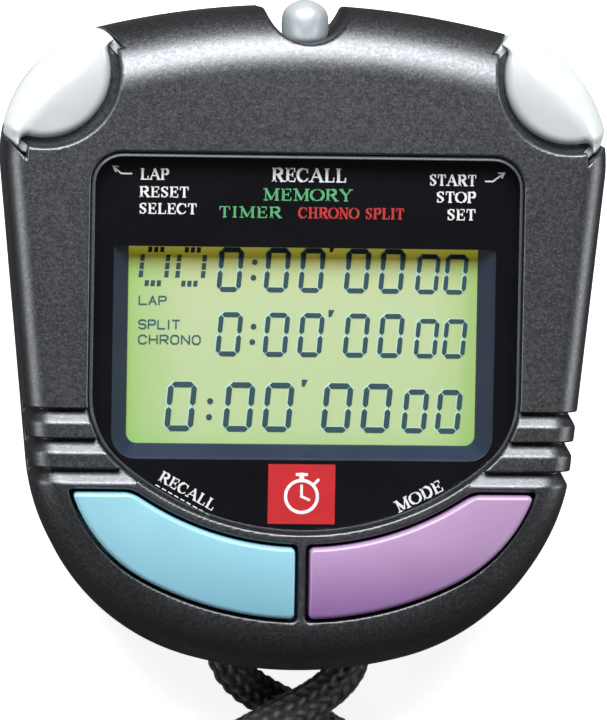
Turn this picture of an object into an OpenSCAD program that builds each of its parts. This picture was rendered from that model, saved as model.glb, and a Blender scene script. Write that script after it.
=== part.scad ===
// Digital sports stopwatch, lying face up on its rear cover.
// Units are millimetres. The origin is under the middle of the case, on the plane it rests on.
// +Z looks out of the display, +Y points to the crown button, +X to the start / stop button.

/* [Case] */
// Half width of the case at its shoulders, measured at height shoulder_y
shoulder_x = 33; // [32:0.1:34]
// Height at which the shoulder width is measured
shoulder_y = 20; // [18:1:22]
// Half width of the case at its waist, 35 mm below the shoulders
waist_x = 29.5; // [28.5:0.1:30.5]
// Highest point of the case's top arc
case_top = 36.1; // [35:0.1:36.5]
// Lowest point of the case's bottom arc
case_bottom = -36.8; // [-38:0.1:-36]
// Radius of the top arc
top_r = 90; // [80:1:110]
// Radius of the bottom arc
bottom_r = 46; // [44:1:50]
// Radius of the shoulders, where the two push buttons sit
shoulder_r = 14.5; // [14:0.1:15]
// Radius of the lower corners
lower_r = 24; // [22:1:26]
// Height of the flat front face above the rest plane
front_z = 19; // [18.6:0.1:19.4]
// Height of the joint between the front and the rear shell
parting_z = 5; // [4.8:0.1:5.2]
// Thickness of the rear cover's floor
floor_t = 2; // [1.8:0.1:2.2]
// Wall thickness of the shells
wall_t = 2.4; // [2:0.1:2.8]
// Rounding of the front edge along the top
round_top = 7; // [5:0.5:7]
// Rounding of the front edge along the sides
round_side = 3; // [2:0.5:3.5]
// Rounding of the front edge around the lower keys
round_bottom = 6; // [4:0.5:6]
// Rounding of the rear edge
round_rear = 3.5; // [3:0.1:3.9]

/* [Window] */
// Half width of the window opening
window_x = 23.65; // [23:0.05:24]
// Upper edge of the window opening
window_top = 20.2; // [19.5:0.1:20.5]
// Radius of the arc along the bottom of the window
window_r = 31; // [30.5:0.1:31.2]
// Lowest point of the window opening
window_bottom = -21.3; // [-21.4:0.1:-21]
// Radius of the window's upper corners
window_corner_r = 3.5; // [3:0.1:4]
// Radius where the window's sides turn into the bottom arc
window_turn_r = 10; // [8:0.5:11]
// Height of the ledge that carries the printed mask and the lens
ledge_z = 16.6; // [16.5:0.1:16.8]
// Thickness of the printed mask
mask_t = 0.2; // [0.15:0.05:0.25]
// Thickness of the lens
lens_t = 2; // [1.6:0.1:2.1]
// Half width of the clear opening in the mask
mask_x = 20.9; // [20:0.1:21]
// Upper and lower edge of the clear opening in the mask
mask_y = [-13.3, 9.9];

/* [Display] */
// Half width of the visible liquid crystal area
lcd_x = 19.1; // [18:0.1:19.5]
// Lower and upper edge of the visible liquid crystal area
lcd_y = [-11.7, 10.7];
// Thickness of each glass plate of the display
glass_t = 1; // [0.7:0.1:1.1]

/* [Keys] */
// Radius of the keys' outer edge
key_r = 37; // [36.5:0.1:37.2]
// Lowest point of the keys
key_bottom = -30.5; // [-30.8:0.1:-30]
// Straight upper edge of the keys
key_top = -16.8; // [-17.2:0.1:-16.6]
// Radius of the keys' inner edge, which follows the window
key_inner_r = 32.4; // [32.3:0.05:32.6]
// Half of the bar between the two keys
key_bar = 0.8; // [0.7:0.05:1]
// Gap around each key
key_gap = 0.35; // [0.3:0.05:0.4]
// Height of the keys' crowned top
key_z = 19.9; // [19.5:0.1:20.2]
// How far a key goes down
key_travel = 0.8; // [0.5:0.1:0.8]

/* [Push buttons] */
// Distance of the round button domes from the middle, along the diagonal
dome_u = 40.6; // [40.4:0.1:40.8]
// Radius of the round button domes
dome_r = 7.2; // [7:0.1:7.3]
// Radius of the round cut-out around each dome
pocket_r = 8.2; // [8.1:0.1:8.4]
// Width of a button cap across its travel
cap_w = 15.7; // [15.4:0.1:15.8]
// Height of the top of the domes
dome_z = 18.2; // [17.5:0.1:18.6]
// Height of the three button stems
stem_z = 11.4; // [11.3:0.1:11.6]
// Radius of the stems
stem_r = 1; // [0.9:0.05:1.1]
// How far the buttons go in
button_travel = 0.7; // [0.5:0.1:0.7]
// Radius of the crown button
crown_r = 2.6; // [2.4:0.1:2.7]
// Radius of the crown button's ball-shaped top
crown_ball_r = 2.82; // [2.8:0.02:4]
// Radius of the scoop that the crown button stands in
scoop_r = 4.7; // [4.5:0.1:4.8]

/* [Finger grooves] */
// Upper wall of the first groove
groove_y = -7.7; // [-8:0.1:-7.5]
// Distance between the grooves
groove_pitch = 3.27; // [3.1:0.01:3.4]
// Width of a groove's ramp
groove_w = 1.6; // [1.4:0.1:1.7]
// Depth of a groove
groove_d = 1.1; // [0.8:0.1:1.2]

/* [Battery] */
// Middle of the coin cell and its hatch
cell_y = 3; // [2:0.5:4]
// Radius of the coin cell
cell_r = 10; // [10:0.1:10]
// Radius of the hatch
hatch_r = 12; // [11.9:0.1:12.1]

/* [Lanyard] */
// Diameter of the braided cord
cord_d = 4.5; // [4.4:0.1:4.6]
// Half of the distance between the two cord holes
cord_x = 7.2; // [7:0.1:7.4]
// Radius at the middle of the coil's turns
coil_r = 25; // [24:0.5:26]
// Middle of the coil, measured from the case's middle
coil_y = -76.4; // [-78:0.1:-76]

/* [Hidden] */

$fn = 72;
far = 60;
eps = 0.5;

// --- outline of the case -------------------------------------------------------------
waist_drop = 35;
lean = atan((shoulder_x - waist_x) / waist_drop);
side_dir = [sin(lean), cos(lean)];
side_out = [cos(lean), -sin(lean)];
top_c = [0, case_top - top_r];
bottom_c = [0, case_bottom + bottom_r];

// Middle of a circle of radius r that touches the side line and, from inside, an arc.
// way is +1 for the upper of the two such circles and -1 for the lower one.
function touching(arc_c, arc_r, r, way) =
    let(
        v = [shoulder_x, shoulder_y] - side_out * r - arc_c,
        b = v * side_dir,
        t = -b + way * sqrt(b * b - v * v + (arc_r - r) * (arc_r - r))
    )
    v + arc_c + side_dir * t;
function unit(v) = v / norm(v);
function flip(p) = [-p[0], p[1]];
function heading(v) = atan2(v[1], v[0]);

shoulder_c = touching(top_c, top_r, shoulder_r, 1);
lower_c = touching(bottom_c, bottom_r, lower_r, -1);
top_turn = unit(shoulder_c - top_c);
bottom_turn = unit(lower_c - bottom_c);

// An outline is a list of [point, outward normal], clockwise from the top, so that it can be
// drawn some way inside itself. Arcs leave out their last point, where the next one starts.
function arc(c, r, from, to, n) = [
    for (k = [0 : n - 1])
        let(a = from + (to - from) * k / n, out = [cos(a), sin(a)])
        [c + out * r, out]
];
function both_halves(right) = concat(
    right,
    [for (i = [len(right) - 1 : -1 : 1]) if (right[i][0][0] > 0.001) [flip(right[i][0]), flip(right[i][1])]]
);
function inset(outline, d) = [for (q = outline) q[0] - q[1] * d];

case_outline = both_halves(concat(
    arc(top_c, top_r, 90, heading(top_turn), 8),
    arc(shoulder_c, shoulder_r, heading(top_turn), -lean, 16),
    [[shoulder_c + side_out * shoulder_r, side_out]],
    arc(lower_c, lower_r, -lean, heading(bottom_turn), 12),
    arc(bottom_c, bottom_r, heading(bottom_turn), -90, 8),
    [[bottom_c - [0, bottom_r], [0, -1]]]
));

// Solids between two heights, z = [low, high]
module slab(outline, z, d = 0)
    translate([0, 0, z[0]]) linear_extrude(z[1] - z[0]) polygon(inset(outline, d));
module disc(c, r, z, fn = 96)
    translate([c[0], c[1], z[0]]) cylinder(r = r, h = z[1] - z[0], $fn = fn);

// The front edge's rounding: wide along the top and the bottom, narrow along the sides
function front_rounding(out) = lookup(heading([abs(out[0]), out[1]]), [
    [-30, round_bottom], [-lean, round_side], [25, round_side], [60, round_top]
]);

// The case as a solid of height h with a rounded upper edge; radii has one for each point
module rounded_case(h, radii) {
    steps = 5;
    n = len(case_outline);
    points = [
        for (q = case_outline) [q[0][0], q[0][1], 0],
        for (k = [0 : steps], i = [0 : n - 1])
            let(
                q = case_outline[i],
                p = q[0] - q[1] * radii[i] * (1 - cos(90 * k / steps))
            )
            [p[0], p[1], h - radii[i] * (1 - sin(90 * k / steps))],
        [0, 0, 0],
        [0, 0, h]
    ];
    last = len(points) - 1;
    walls = [
        for (k = [0 : steps], i = [0 : n - 1])
            let(a = k * n + i, b = k * n + (i + 1) % n)
            each [[a, b, b + n], [a, b + n, a + n]]
    ];
    flats = [
        for (i = [0 : n - 1])
            let(j = (i + 1) % n, top = (steps + 1) * n)
            each [[j, i, last - 1], [top + i, top + j, last]]
    ];
    polyhedron(points, concat(walls, flats));
}

// --- outlines inside the case --------------------------------------------------------
button_wall_u = 25.9;
crown_wall_y = 27.4;
tunnel_block = [11.5, -19.8];
tunnel_roof_z = 8.8;
ceiling_z = 14.8;

// The space inside the shells, grown by g; tunnel leaves the cord's block out of it
module cavity_slab(z, g = 0, tunnel = false) {
    button_wall = (button_wall_u + g) * sqrt(2);
    high = crown_wall_y + g;
    difference() {
        intersection() {
            slab(case_outline, z, wall_t - g);
            translate([0, 0, z[0] - 1]) linear_extrude(z[1] - z[0] + 2) polygon([
                [button_wall - high, high], [far, button_wall - far], [far, -far],
                [-far, -far], [-far, button_wall - far], [high - button_wall, high]
            ]);
        }
        if (tunnel)
            box([g - tunnel_block[0], tunnel_block[0] - g], [-far, tunnel_block[1] - g],
                [z[0] - 1, z[1] + 1]);
    }
}

// Solid block around the cord's tunnel, let into the walls
module cord_block(z) intersection() {
    slab(case_outline, z, wall_t - 1);
    box([-tunnel_block[0], tunnel_block[0]], [-far, tunnel_block[1]], [z[0] - 1, z[1] + 1]);
}

window_c = [0, window_bottom + window_r];
turn_x = window_x - window_turn_r;
turn_c = [turn_x, window_c[1] - sqrt(pow(window_r - window_turn_r, 2) - turn_x * turn_x)];
window_turn = unit(turn_c - window_c);
corner_c = [window_x - window_corner_r, window_top - window_corner_r];

window_outline = both_halves(concat(
    [[[0, window_top], [0, 1]]],
    arc(corner_c, window_corner_r, 90, 0, 6),
    [[corner_c + [window_corner_r, 0], [1, 0]]],
    arc(turn_c, window_turn_r, 0, heading(window_turn), 10),
    arc(window_c, window_r, heading(window_turn), -90, 16),
    [[window_c - [0, window_r], [0, -1]]]
));

// The window opening between two heights, drawn d inside the real one
module window_slab(z, d = 0) slab(window_outline, z, d);

key_c = [0, key_bottom + key_r];
key_turn_r = 17;
key_turn_a = -63;
key_turn_c = key_c + [cos(key_turn_a), sin(key_turn_a)] * (key_r - key_turn_r);
key_outline = both_halves(concat(
    [[key_turn_c + [-key_turn_c[0], key_turn_r], [0, 1]]],
    arc(key_turn_c, key_turn_r, 90, key_turn_a, 30),
    arc(key_c, key_r, key_turn_a, -90, 10),
    [[key_c - [0, key_r], [0, -1]]]
));

// The right-hand key between two heights, grown by g
module key_slab(z, g = 0) {
    difference() {
        intersection() {
            slab(key_outline, z, -g);
            box([key_bar - g, far], [-far, key_top + g], [z[0] - 1, z[1] + 1]);
        }
        disc(window_c, key_inner_r - g, [z[0] - 1, z[1] + 1], 200);
    }
}

module at_left() mirror([1, 0, 0]) children();

// --- corner buttons: local x runs outwards along the diagonal -------------------------
diag_c = [(shoulder_c[0] + shoulder_c[1]) / sqrt(2), (shoulder_c[1] - shoulder_c[0]) / sqrt(2)];
skirt_in = 32.4;
skirt_z = [5.4, 14];
slot_w = 16;
pocket_in = 31.3;
pocket_z = 14.2;
wing_in = 13.1;
wing_z = 17.8;
collar_r = 9.1;
collar_z = [14.4, 15.7];
collar_gap = 0.9;
well_r = 2.6;
well_u = 28.4;
recess_u = 33.9;
stem_u = [24.6, 37];
seal_u = 27.15;
seal_t = 1;
seal_groove_r = 2.1;
clip_u = 25.4;
clip_t = 0.4;

module diagonal() rotate(45) children();
module along_stem(u, z = stem_z) translate([u, 0, z]) rotate([0, 90, 0]) children();

// Everything that a corner button takes out of the front shell
module corner_pocket() diagonal() {
    translate([pocket_in, -slot_w / 2, 0]) cube([far, slot_w, pocket_z]);
    intersection() {
        translate([0, -slot_w / 2, pocket_z - eps]) cube([far, slot_w, far]);
        difference() {
            translate([diag_c[0], diag_c[1], 0]) cylinder(r = shoulder_r + 5, h = far);
            translate([diag_c[0], diag_c[1], -1])
                cylinder(r = wing_in - button_travel - 0.2, h = far + 2);
        }
    }
    translate([dome_u, 0, pocket_z - eps]) cylinder(r = pocket_r, h = far);
    // the cap's collar slides in under the lip of the pocket
    intersection() {
        translate([dome_u, 0, pocket_z - eps])
            cylinder(r = collar_r + collar_gap, h = collar_z[1] + 0.2 - pocket_z + eps);
        translate([0, -slot_w / 2, 0]) cube([far, slot_w, far]);
    }
    along_stem(well_u) cylinder(r = well_r, h = pocket_in - well_u + eps);
    along_stem(button_wall_u - eps)
        cylinder(r = stem_r + 0.05, h = well_u - button_wall_u + 2 * eps);
    along_stem(seal_u - seal_t / 2) cylinder(r = seal_groove_r, h = seal_t + 0.1);
}

// Section of the cap's wings, from the inner to the outer face, with rounded outer edges
module wing_profile() {
    round_low = 1.5;
    round_high = 4;
    difference() {
        translate([wing_in, skirt_z[0]])
            square([shoulder_r - wing_in, wing_z - skirt_z[0]]);
        translate([shoulder_r, wing_z]) round_profile_clip(round_high);
        translate([shoulder_r, skirt_z[0]]) mirror([0, 1]) round_profile_clip(round_low);
    }
}

module round_profile_clip(rho) {
    difference() {
        translate([-rho, -rho]) square(rho + 1);
        translate([-rho, -rho]) circle(rho);
    }
}

module dome_profile() {
    rho = 3;
    low = skirt_z[1] - 1;
    translate([0, low]) square([dome_r, dome_z - rho - low]);
    translate([0, low]) square([dome_r - rho, dome_z - low]);
    translate([dome_r - rho, dome_z - rho]) circle(rho);
}

module corner_cap() diagonal() {
    bulge = 0.4;
    difference() {
        union() {
            intersection() {
                translate([skirt_in, -cap_w / 2, skirt_z[0]])
                    cube([20, cap_w, skirt_z[1] - skirt_z[0]]);
                translate([diag_c[0], diag_c[1], 0])
                    rotate_extrude() {
                        translate([0, skirt_z[0]]) square([wing_in + 0.5, 12]);
                        wing_profile();
                    }
            }
            intersection() {
                translate([skirt_in, -cap_w / 2, 0]) cube([20, cap_w, far]);
                translate([diag_c[0], diag_c[1], 0]) rotate_extrude() wing_profile();
            }
            intersection() {
                translate([dome_u, 0, 0]) rotate_extrude() dome_profile();
                translate([diag_c[0], diag_c[1], 0]) cylinder(r = shoulder_r + bulge, h = far);
                translate([0, -cap_w / 2, 0]) cube([far, cap_w, far]);
            }
            intersection() {
                translate([dome_u, 0, collar_z[0]])
                    cylinder(r = collar_r, h = collar_z[1] - collar_z[0]);
                translate([diag_c[0], diag_c[1], 0]) cylinder(r = wing_in + 0.5, h = far);
                translate([0, -cap_w / 2, 0]) cube([far, cap_w, far]);
            }
        }
        along_stem(skirt_in - eps) cylinder(r = stem_r, h = stem_u[1] - skirt_in + eps);
        along_stem(skirt_in - eps) cylinder(r = well_r, h = recess_u - skirt_in + eps);
    }
}

// Stem with a groove for its retaining clip; u is the stretch that it covers
module stem(u, clip_at) {
    groove_r = stem_r - 0.25;
    difference() {
        along_stem(u[0]) cylinder(r = stem_r, h = u[1] - u[0]);
        along_stem(clip_at) difference() {
            cylinder(r = stem_r + 1, h = clip_t);
            translate([0, 0, -1]) cylinder(r = groove_r, h = clip_t + 2);
        }
    }
}

module sleeve(r_out, r_in, h) {
    difference() {
        cylinder(r = r_out, h = h);
        translate([0, 0, -1]) cylinder(r = r_in, h = h + 2);
    }
}

module spring_body(from, to) {
    play = 0.1;
    along_stem(from) sleeve(well_r - 0.35, stem_r + 0.3, to - from - play);
}

module seal_body(u) {
    ring_r = 0.45;
    along_stem(u) rotate_extrude() translate([stem_r + 0.04 + ring_r, 0]) circle(ring_r);
}

module clip_body(u) {
    // an open retaining ring
    along_stem(u + 0.05) difference() {
        cylinder(r = stem_r + 1, h = clip_t - 0.1);
        translate([0, 0, -1]) cylinder(r = stem_r - 0.25, h = 3);
        translate([0, -0.5, -1]) cube([3, 1, 3]);
    }
}

// Contact spring that stands on the board and is pushed by the stem's end
module contact_body(u) {
    board = board_z[1];
    leaf_t = 0.3;
    leaf_w = 3.6;
    gap = 0.2;
    reach = u - button_travel - gap;
    translate([reach - leaf_t, -leaf_w / 2, board]) cube([leaf_t, leaf_w, stem_z + 1 - board]);
    translate([reach - 2, -leaf_w / 2, board]) cube([2, leaf_w, leaf_t]);
}

// --- crown button: the same parts, turned to point up the case ------------------------
crown_u = [30.9, 36.8];
crown_well_u = 29.9;
crown_stem_u = [22.6, 35];
crown_seal_u = 28.65;
crown_clip_u = 26.9;
crown_recess_u = 33;
scoop_u = 36.8;

module upward() rotate(90) children();

module crown_pocket() upward() {
    translate([scoop_u, 0, -1]) cylinder(r = scoop_r, h = far);
    along_stem(crown_well_u) cylinder(r = crown_r + 0.15, h = 5);
    along_stem(crown_wall_y - eps) cylinder(r = stem_r + 0.05, h = 4);
    along_stem(crown_seal_u - seal_t / 2) cylinder(r = seal_groove_r, h = seal_t + 0.1);
}

module crown_cap() upward() {
    ball_u = crown_u[1] - crown_u[0] - crown_ball_r;
    difference() {
        along_stem(crown_u[0]) rotate_extrude() intersection() {
            square([crown_r, far]);
            union() {
                square([crown_r, ball_u]);
                translate([0, ball_u]) circle(crown_ball_r);
            }
        }
        along_stem(crown_u[0] - eps) cylinder(r = stem_r, h = crown_stem_u[1] - crown_u[0] + eps);
        along_stem(crown_u[0] - eps) cylinder(r = 2, h = crown_recess_u - crown_u[0] + eps);
    }
}

// --- electronics and display ----------------------------------------------------------
board_z = [9, 10.2];
bezel_z = ledge_z - 2;
frame_x = 23.2;
frame_y = [-15.2, 13.9];
reflector_t = 0.2;
lcd_plate_x = 21;
front_plate_y = [-13.5, 12.5];
rear_plate_y = [-11.2, 10.2];
strip_w = 1.9;
post_r = 1.9;
board_posts = [[26.4, 5], [25.6, -10]];
lower_screw = [22.3, -21.6];
upper_screw = [13, 30.4];
case_screw_r = 1;
board_screw_r = 0.7;

module box(x, y, z) {
    translate([x[0], y[0], z[0]]) cube([x[1] - x[0], y[1] - y[0], z[1] - z[0]]);
}

// --- cord tunnel -----------------------------------------------------------------------
tunnel_r = cord_d / 2 + 0.25;
cord_z = parting_z;
bend_y = -31.2;
inner_end_y = -33.5;

module tunnel_shape(r) {
    translate([0, bend_y, cord_z]) rotate_extrude(angle = 180) translate([cord_x, 0]) circle(r);
    for (s = [-1, 1])
        translate([s * cord_x, bend_y, cord_z]) rotate([90, 0, 0]) cylinder(r = r, h = 20);
}

module tunnel_mouths() {
    flare = 0.9;
    for (s = [-1, 1])
        translate([s * (cord_x - flare + 0.15), inner_end_y - 0.4, cord_z])
            rotate([90, 0, 0]) cylinder(r = tunnel_r + flare, h = 20);
}

// --- grooves ----------------------------------------------------------------------------
function side_x(y) = shoulder_x + (y - shoulder_y) * tan(lean);

module finger_grooves() {
    inner = 18.2;
    low = 7;
    for (m = [0, 1], k = [0 : 2]) mirror([m, 0, 0]) {
        y = groove_y - k * groove_pitch;
        ridge = y - groove_w;
        translate([inner, 0, 0]) rotate([90, 0, 90]) linear_extrude(30)
            polygon([
                [y, front_z + 1], [y, front_z - groove_d],
                [ridge, front_z], [ridge, front_z + 1]
            ]);
        translate([0, 0, low]) linear_extrude(front_z)
            polygon([
                [side_x(y) + 2, y], [side_x(y) - groove_d, y],
                [side_x(ridge), ridge], [side_x(ridge) + 2, ridge]
            ]);
    }
}

// --- case shells --------------------------------------------------------------------------
module front_case() color([0.25, 0.25, 0.26]) difference() {
    union() {
        difference() {
            translate([0, 0, parting_z])
                rounded_case(front_z - parting_z, [for (q = case_outline) front_rounding(q[1])]);
            cavity_slab([parting_z - 1, ceiling_z]);
        }
        cord_block([parting_z + 0.05, tunnel_roof_z]);
        for (m = [0, 1]) mirror([m, 0, 0]) {
            for (p = board_posts)
                translate([p[0], p[1], board_z[1]])
                    cylinder(r = post_r, h = ceiling_z - board_z[1] + eps);
            translate([lower_screw[0], lower_screw[1], parting_z + 0.1])
                cylinder(r = 2.6, h = 6.4);
            translate([lower_screw[0], lower_screw[1], parting_z + 0.3])
                rotate(-45) translate([1.5, -1.2, 0]) cube([3, 2.4, 5.8]);
        }
    }
    box([-22.2, 22.2], [-14.4, 14.4], [ceiling_z - 1, ledge_z + 1]);
    window_slab([ledge_z, front_z + 1]);
    for (m = [0, 1]) mirror([m, 0, 0]) {
        key_slab([ceiling_z - 1, front_z + 1], key_gap);
        corner_pocket();
        for (p = board_posts)
            translate([p[0], p[1], board_z[1] - 1]) cylinder(r = board_screw_r, h = 4.6);
        for (p = [lower_screw, upper_screw])
            translate([p[0], p[1], parting_z - 1]) cylinder(r = case_screw_r, h = 6.5);
    }
    crown_pocket();
    finger_grooves();
    tunnel_shape(tunnel_r);
    tunnel_mouths();
}

gasket_g = [0.35, 1.15];
gasket_t = 0.8;
head_r = 2;
head_z = [0.6, 1.8];
lug_count = 3;
lug_a = 30;
lug_r = 13.4;
lug_z = [2.1, 2.9];
hatch_z = [0.4, 1.9];

module rear_case() color([0.16, 0.16, 0.17]) difference() {
    union() {
        difference() {
            translate([0, 0, parting_z]) mirror([0, 0, 1])
                rounded_case(parting_z, [for (q = case_outline) round_rear]);
            cavity_slab([floor_t, parting_z + 1]);
        }
        cord_block([floor_t - eps, parting_z - 0.05]);
        for (m = [0, 1]) mirror([m, 0, 0])
            disc(lower_screw, 2.6, [floor_t - eps, parting_z - 0.05]);
    }
    gasket_ring([parting_z - gasket_t, parting_z + 1]);
    for (m = [0, 1], p = [lower_screw, upper_screw]) mirror([m, 0, 0]) translate(p) {
        translate([0, 0, -1]) cylinder(r = head_r + 0.15, h = head_z[1] + 1);
        cylinder(r = case_screw_r + 0.15, h = far);
    }
    translate([0, cell_y, -1]) cylinder(r = hatch_r + 0.15, h = far);
    for (k = [0 : lug_count - 1])
        translate([0, cell_y, -1]) rotate(k * 120 + 50) rotate(-lug_a / 2 - 2)
            rotate_extrude(angle = lug_a + 4) square([lug_r + 0.15, 10]);
    upward() translate([scoop_u, 0, -1]) cylinder(r = scoop_r, h = far);
    tunnel_shape(tunnel_r);
    tunnel_mouths();
}

module gasket_ring(z) {
    difference() {
        cavity_slab(z, gasket_g[1], true);
        cavity_slab([z[0] - 1, z[1] + 1], gasket_g[0], true);
    }
}

module case_gasket() color([0.1, 0.1, 0.1]) gasket_ring([parting_z - gasket_t, parting_z]);

module cross_recess(depth) {
    for (a = [0, 90]) rotate(a) translate([-0.9, -0.2, 0]) cube([1.8, 0.4, depth]);
}

module screw(head, z, shank, length) {
    difference() {
        union() {
            cylinder(r = head, h = z);
            cylinder(r = shank, h = length);
        }
        translate([0, 0, -0.01]) cross_recess(z * 0.6);
    }
}

module case_screws() color([0.75, 0.76, 0.78])
    for (m = [0, 1], p = [lower_screw, upper_screw]) mirror([m, 0, 0])
        translate([p[0], p[1], head_z[0]])
            screw(head_r - 0.1, head_z[1] - head_z[0], case_screw_r, 9.4);

// --- window -------------------------------------------------------------------------------
module window_lens() color([0.8, 0.85, 0.88, 0.35])
    window_slab([ledge_z + mask_t, ledge_z + mask_t + lens_t], 0.15);

module window_mask() color([0.05, 0.05, 0.06]) difference() {
    window_slab([ledge_z, ledge_z + mask_t], 0.15);
    mask_opening([0, far]);
}

// The clear opening, with rounded lower corners
module mask_opening(z) {
    corner = 2.6;
    box([-mask_x, mask_x], [mask_y[0] + corner, mask_y[1]], z);
    box([corner - mask_x, mask_x - corner], mask_y, z);
    for (s = [-1, 1]) disc([s * (mask_x - corner), mask_y[0] + corner], corner, z);
}

// --- display --------------------------------------------------------------------------------
module lcd_bezel() color([0.22, 0.25, 0.35]) difference() {
    box([-22, 22], [-14.2, 14.2], [bezel_z, ledge_z]);
    hull() {
        box([-lcd_x, lcd_x], lcd_y, [bezel_z - 0.02, bezel_z]);
        box([-mask_x, mask_x], [mask_y[0], mask_y[1] + 2], [ledge_z, ledge_z + 0.02]);
    }
}

module lcd_front_glass() color([0.7, 0.8, 0.45])
    box([-lcd_plate_x, lcd_plate_x], front_plate_y, [bezel_z - glass_t, bezel_z]);

module lcd_rear_glass() color([0.65, 0.75, 0.4])
    box([-lcd_plate_x, lcd_plate_x], rear_plate_y,
        [bezel_z - 2 * glass_t, bezel_z - glass_t]);

module lcd_reflector() color([0.8, 0.85, 0.6])
    box([-lcd_plate_x + 0.3, lcd_plate_x - 0.3], rear_plate_y,
        [bezel_z - 2 * glass_t - reflector_t, bezel_z - 2 * glass_t]);

// The two rubber strips that join the glass to the board
module lcd_connectors() color([0.85, 0.5, 0.5])
    for (y = [front_plate_y[0] + 0.1, front_plate_y[1] - strip_w - 0.1])
        box([-19.5, 19.5], [y, y + strip_w], [board_z[1], bezel_z - glass_t]);

module module_frame() color([0.9, 0.9, 0.88]) difference() {
    intersection() {
        box([-frame_x, frame_x], frame_y, [board_z[1], bezel_z]);
        cavity_slab([board_z[1] - 1, bezel_z + 1], -0.3);
    }
    box([-lcd_plate_x - 0.1, lcd_plate_x + 0.1], front_plate_y + [-0.1, 0.1],
        [bezel_z - glass_t - 0.01, far]);
    box([-lcd_plate_x - 0.1, lcd_plate_x + 0.1], rear_plate_y + [-0.1, 0.1],
        [bezel_z - 2 * glass_t - reflector_t, far]);
    for (y = [front_plate_y[0], front_plate_y[1] - strip_w - 0.2])
        box([-19.7, 19.7], [y, y + strip_w + 0.2], [0, far]);
    box([-18, 18], [-9.5, 8.5], [0, bezel_z - 2 * glass_t - reflector_t - 1]);
}

module main_board() color([0.1, 0.4, 0.2]) difference() {
    intersection() {
        cavity_slab(board_z, -0.5);
        box([-far, far], [-29.5, 23], [0, far]);
    }
    for (m = [0, 1]) mirror([m, 0, 0]) {
        for (p = board_posts) disc(p, board_screw_r + 0.1, [0, far]);
        disc(lower_screw, 3, [0, far]);
        translate(lower_screw) rotate(-45) box([0, 8], [-1.6, 1.6], [0, far]);
        diagonal() box([clip_u - button_travel - 0.4, far], [-2.7, 2.7], [0, far]);
    }
}

module board_screws() color([0.75, 0.76, 0.78])
    for (m = [0, 1], p = board_posts) mirror([m, 0, 0])
        translate([p[0], p[1], board_z[0] - 0.8]) screw(1.5, 0.8, board_screw_r, 4.8);

module chip_cover() color([0.08, 0.08, 0.08])
    translate([19.5, 8.5, board_z[0]]) mirror([0, 0, 1]) rotate_extrude() intersection() {
        translate([0, -7.2]) circle(8.6);
        square([6, 2]);
    }

module quartz_can() color([0.8, 0.8, 0.82]) {
    translate([-22, 10, board_z[0] - 1]) rotate([90, 0, 0]) cylinder(r = 1, h = 6);
    for (s = [-0.4, 0.4])
        translate([-22 + s, 11.8, board_z[0] - 1]) rotate([90, 0, 0]) cylinder(r = 0.15, h = 1.8);
}

// Small resistors and capacitors under the board
module board_parts() color([0.7, 0.6, 0.4]) {
    for (k = [0 : 4])
        box([15 + 2.4 * k, 16.2 + 2.4 * k], [-13.5, -11.5], [board_z[0] - 0.7, board_z[0]]);
    for (k = [0 : 2])
        box([-18.6 + 3.1 * k, -16.4 + 3.1 * k], [14.5, 15.8], [board_z[0] - 1, board_z[0]]);
}

// --- battery ---------------------------------------------------------------------------------
cell_z = 3;
cell_t = 3.2;

module coin_cell() color([0.82, 0.83, 0.85]) translate([0, cell_y, cell_z]) rotate_extrude() {
    square([cell_r - 0.2, cell_t - 0.5]);
    translate([0, 0.2]) square([cell_r, cell_t - 0.9]);
    square([cell_r - 1.2, cell_t]);
}

module cell_holder() color([0.88, 0.88, 0.85]) difference() {
    translate([0, cell_y, lug_z[1] + 0.3]) sleeve(cell_r + 1.8, cell_r + 0.2, 5.8);
    for (a = [0, 180]) translate([0, cell_y, 0]) rotate(a) box([5, 20], [-2.1, 2.1], [0, 7.5]);
}

// Strip on each side of the holder that grips the rim of the cell
module cell_plus_clip() color([0.85, 0.72, 0.4])
    for (a = [0, 180]) translate([0, cell_y, 0]) rotate(a) {
        box([cell_r + 0.05, cell_r + 0.35], [-1.8, 1.8], [3.4, 7.2]);
        box([cell_r + 0.05, cell_r + 3.6], [-1.8, 1.8], [7.2, 7.5]);
        box([cell_r + 3.3, cell_r + 3.6], [-1.8, 1.8], [7.5, board_z[0]]);
    }

// Bent leaf between the cell's cap and the board
module cell_minus_spring() color([0.85, 0.72, 0.4])
    translate([0, cell_y, 0]) rotate([90, 0, 0]) translate([0, 0, -2])
        linear_extrude(4) polygon([
            [-6, board_z[0]], [-6, 8.7], [-1, 8.7], [4, 6.55], [6, 7.05],
            [6.1, 6.75], [4, 6.25], [3.8, 6.3], [-1.2, 8.4], [-6.3, 8.4], [-6.3, board_z[0]]
        ]);

buzzer_p = [-20.6, -6.5];
module buzzer_disc() color([0.85, 0.75, 0.45]) translate([buzzer_p[0], buzzer_p[1], floor_t]) {
    cylinder(r = 6.4, h = 0.3);
    translate([0, 0, 0.3]) cylinder(r = 4.6, h = 0.2);
}

module buzzer_spring() color([0.85, 0.72, 0.4])
    translate([buzzer_p[0], buzzer_p[1], floor_t + 0.5]) sleeve(1.4, 0.9, board_z[0] - floor_t - 0.5);

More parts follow.
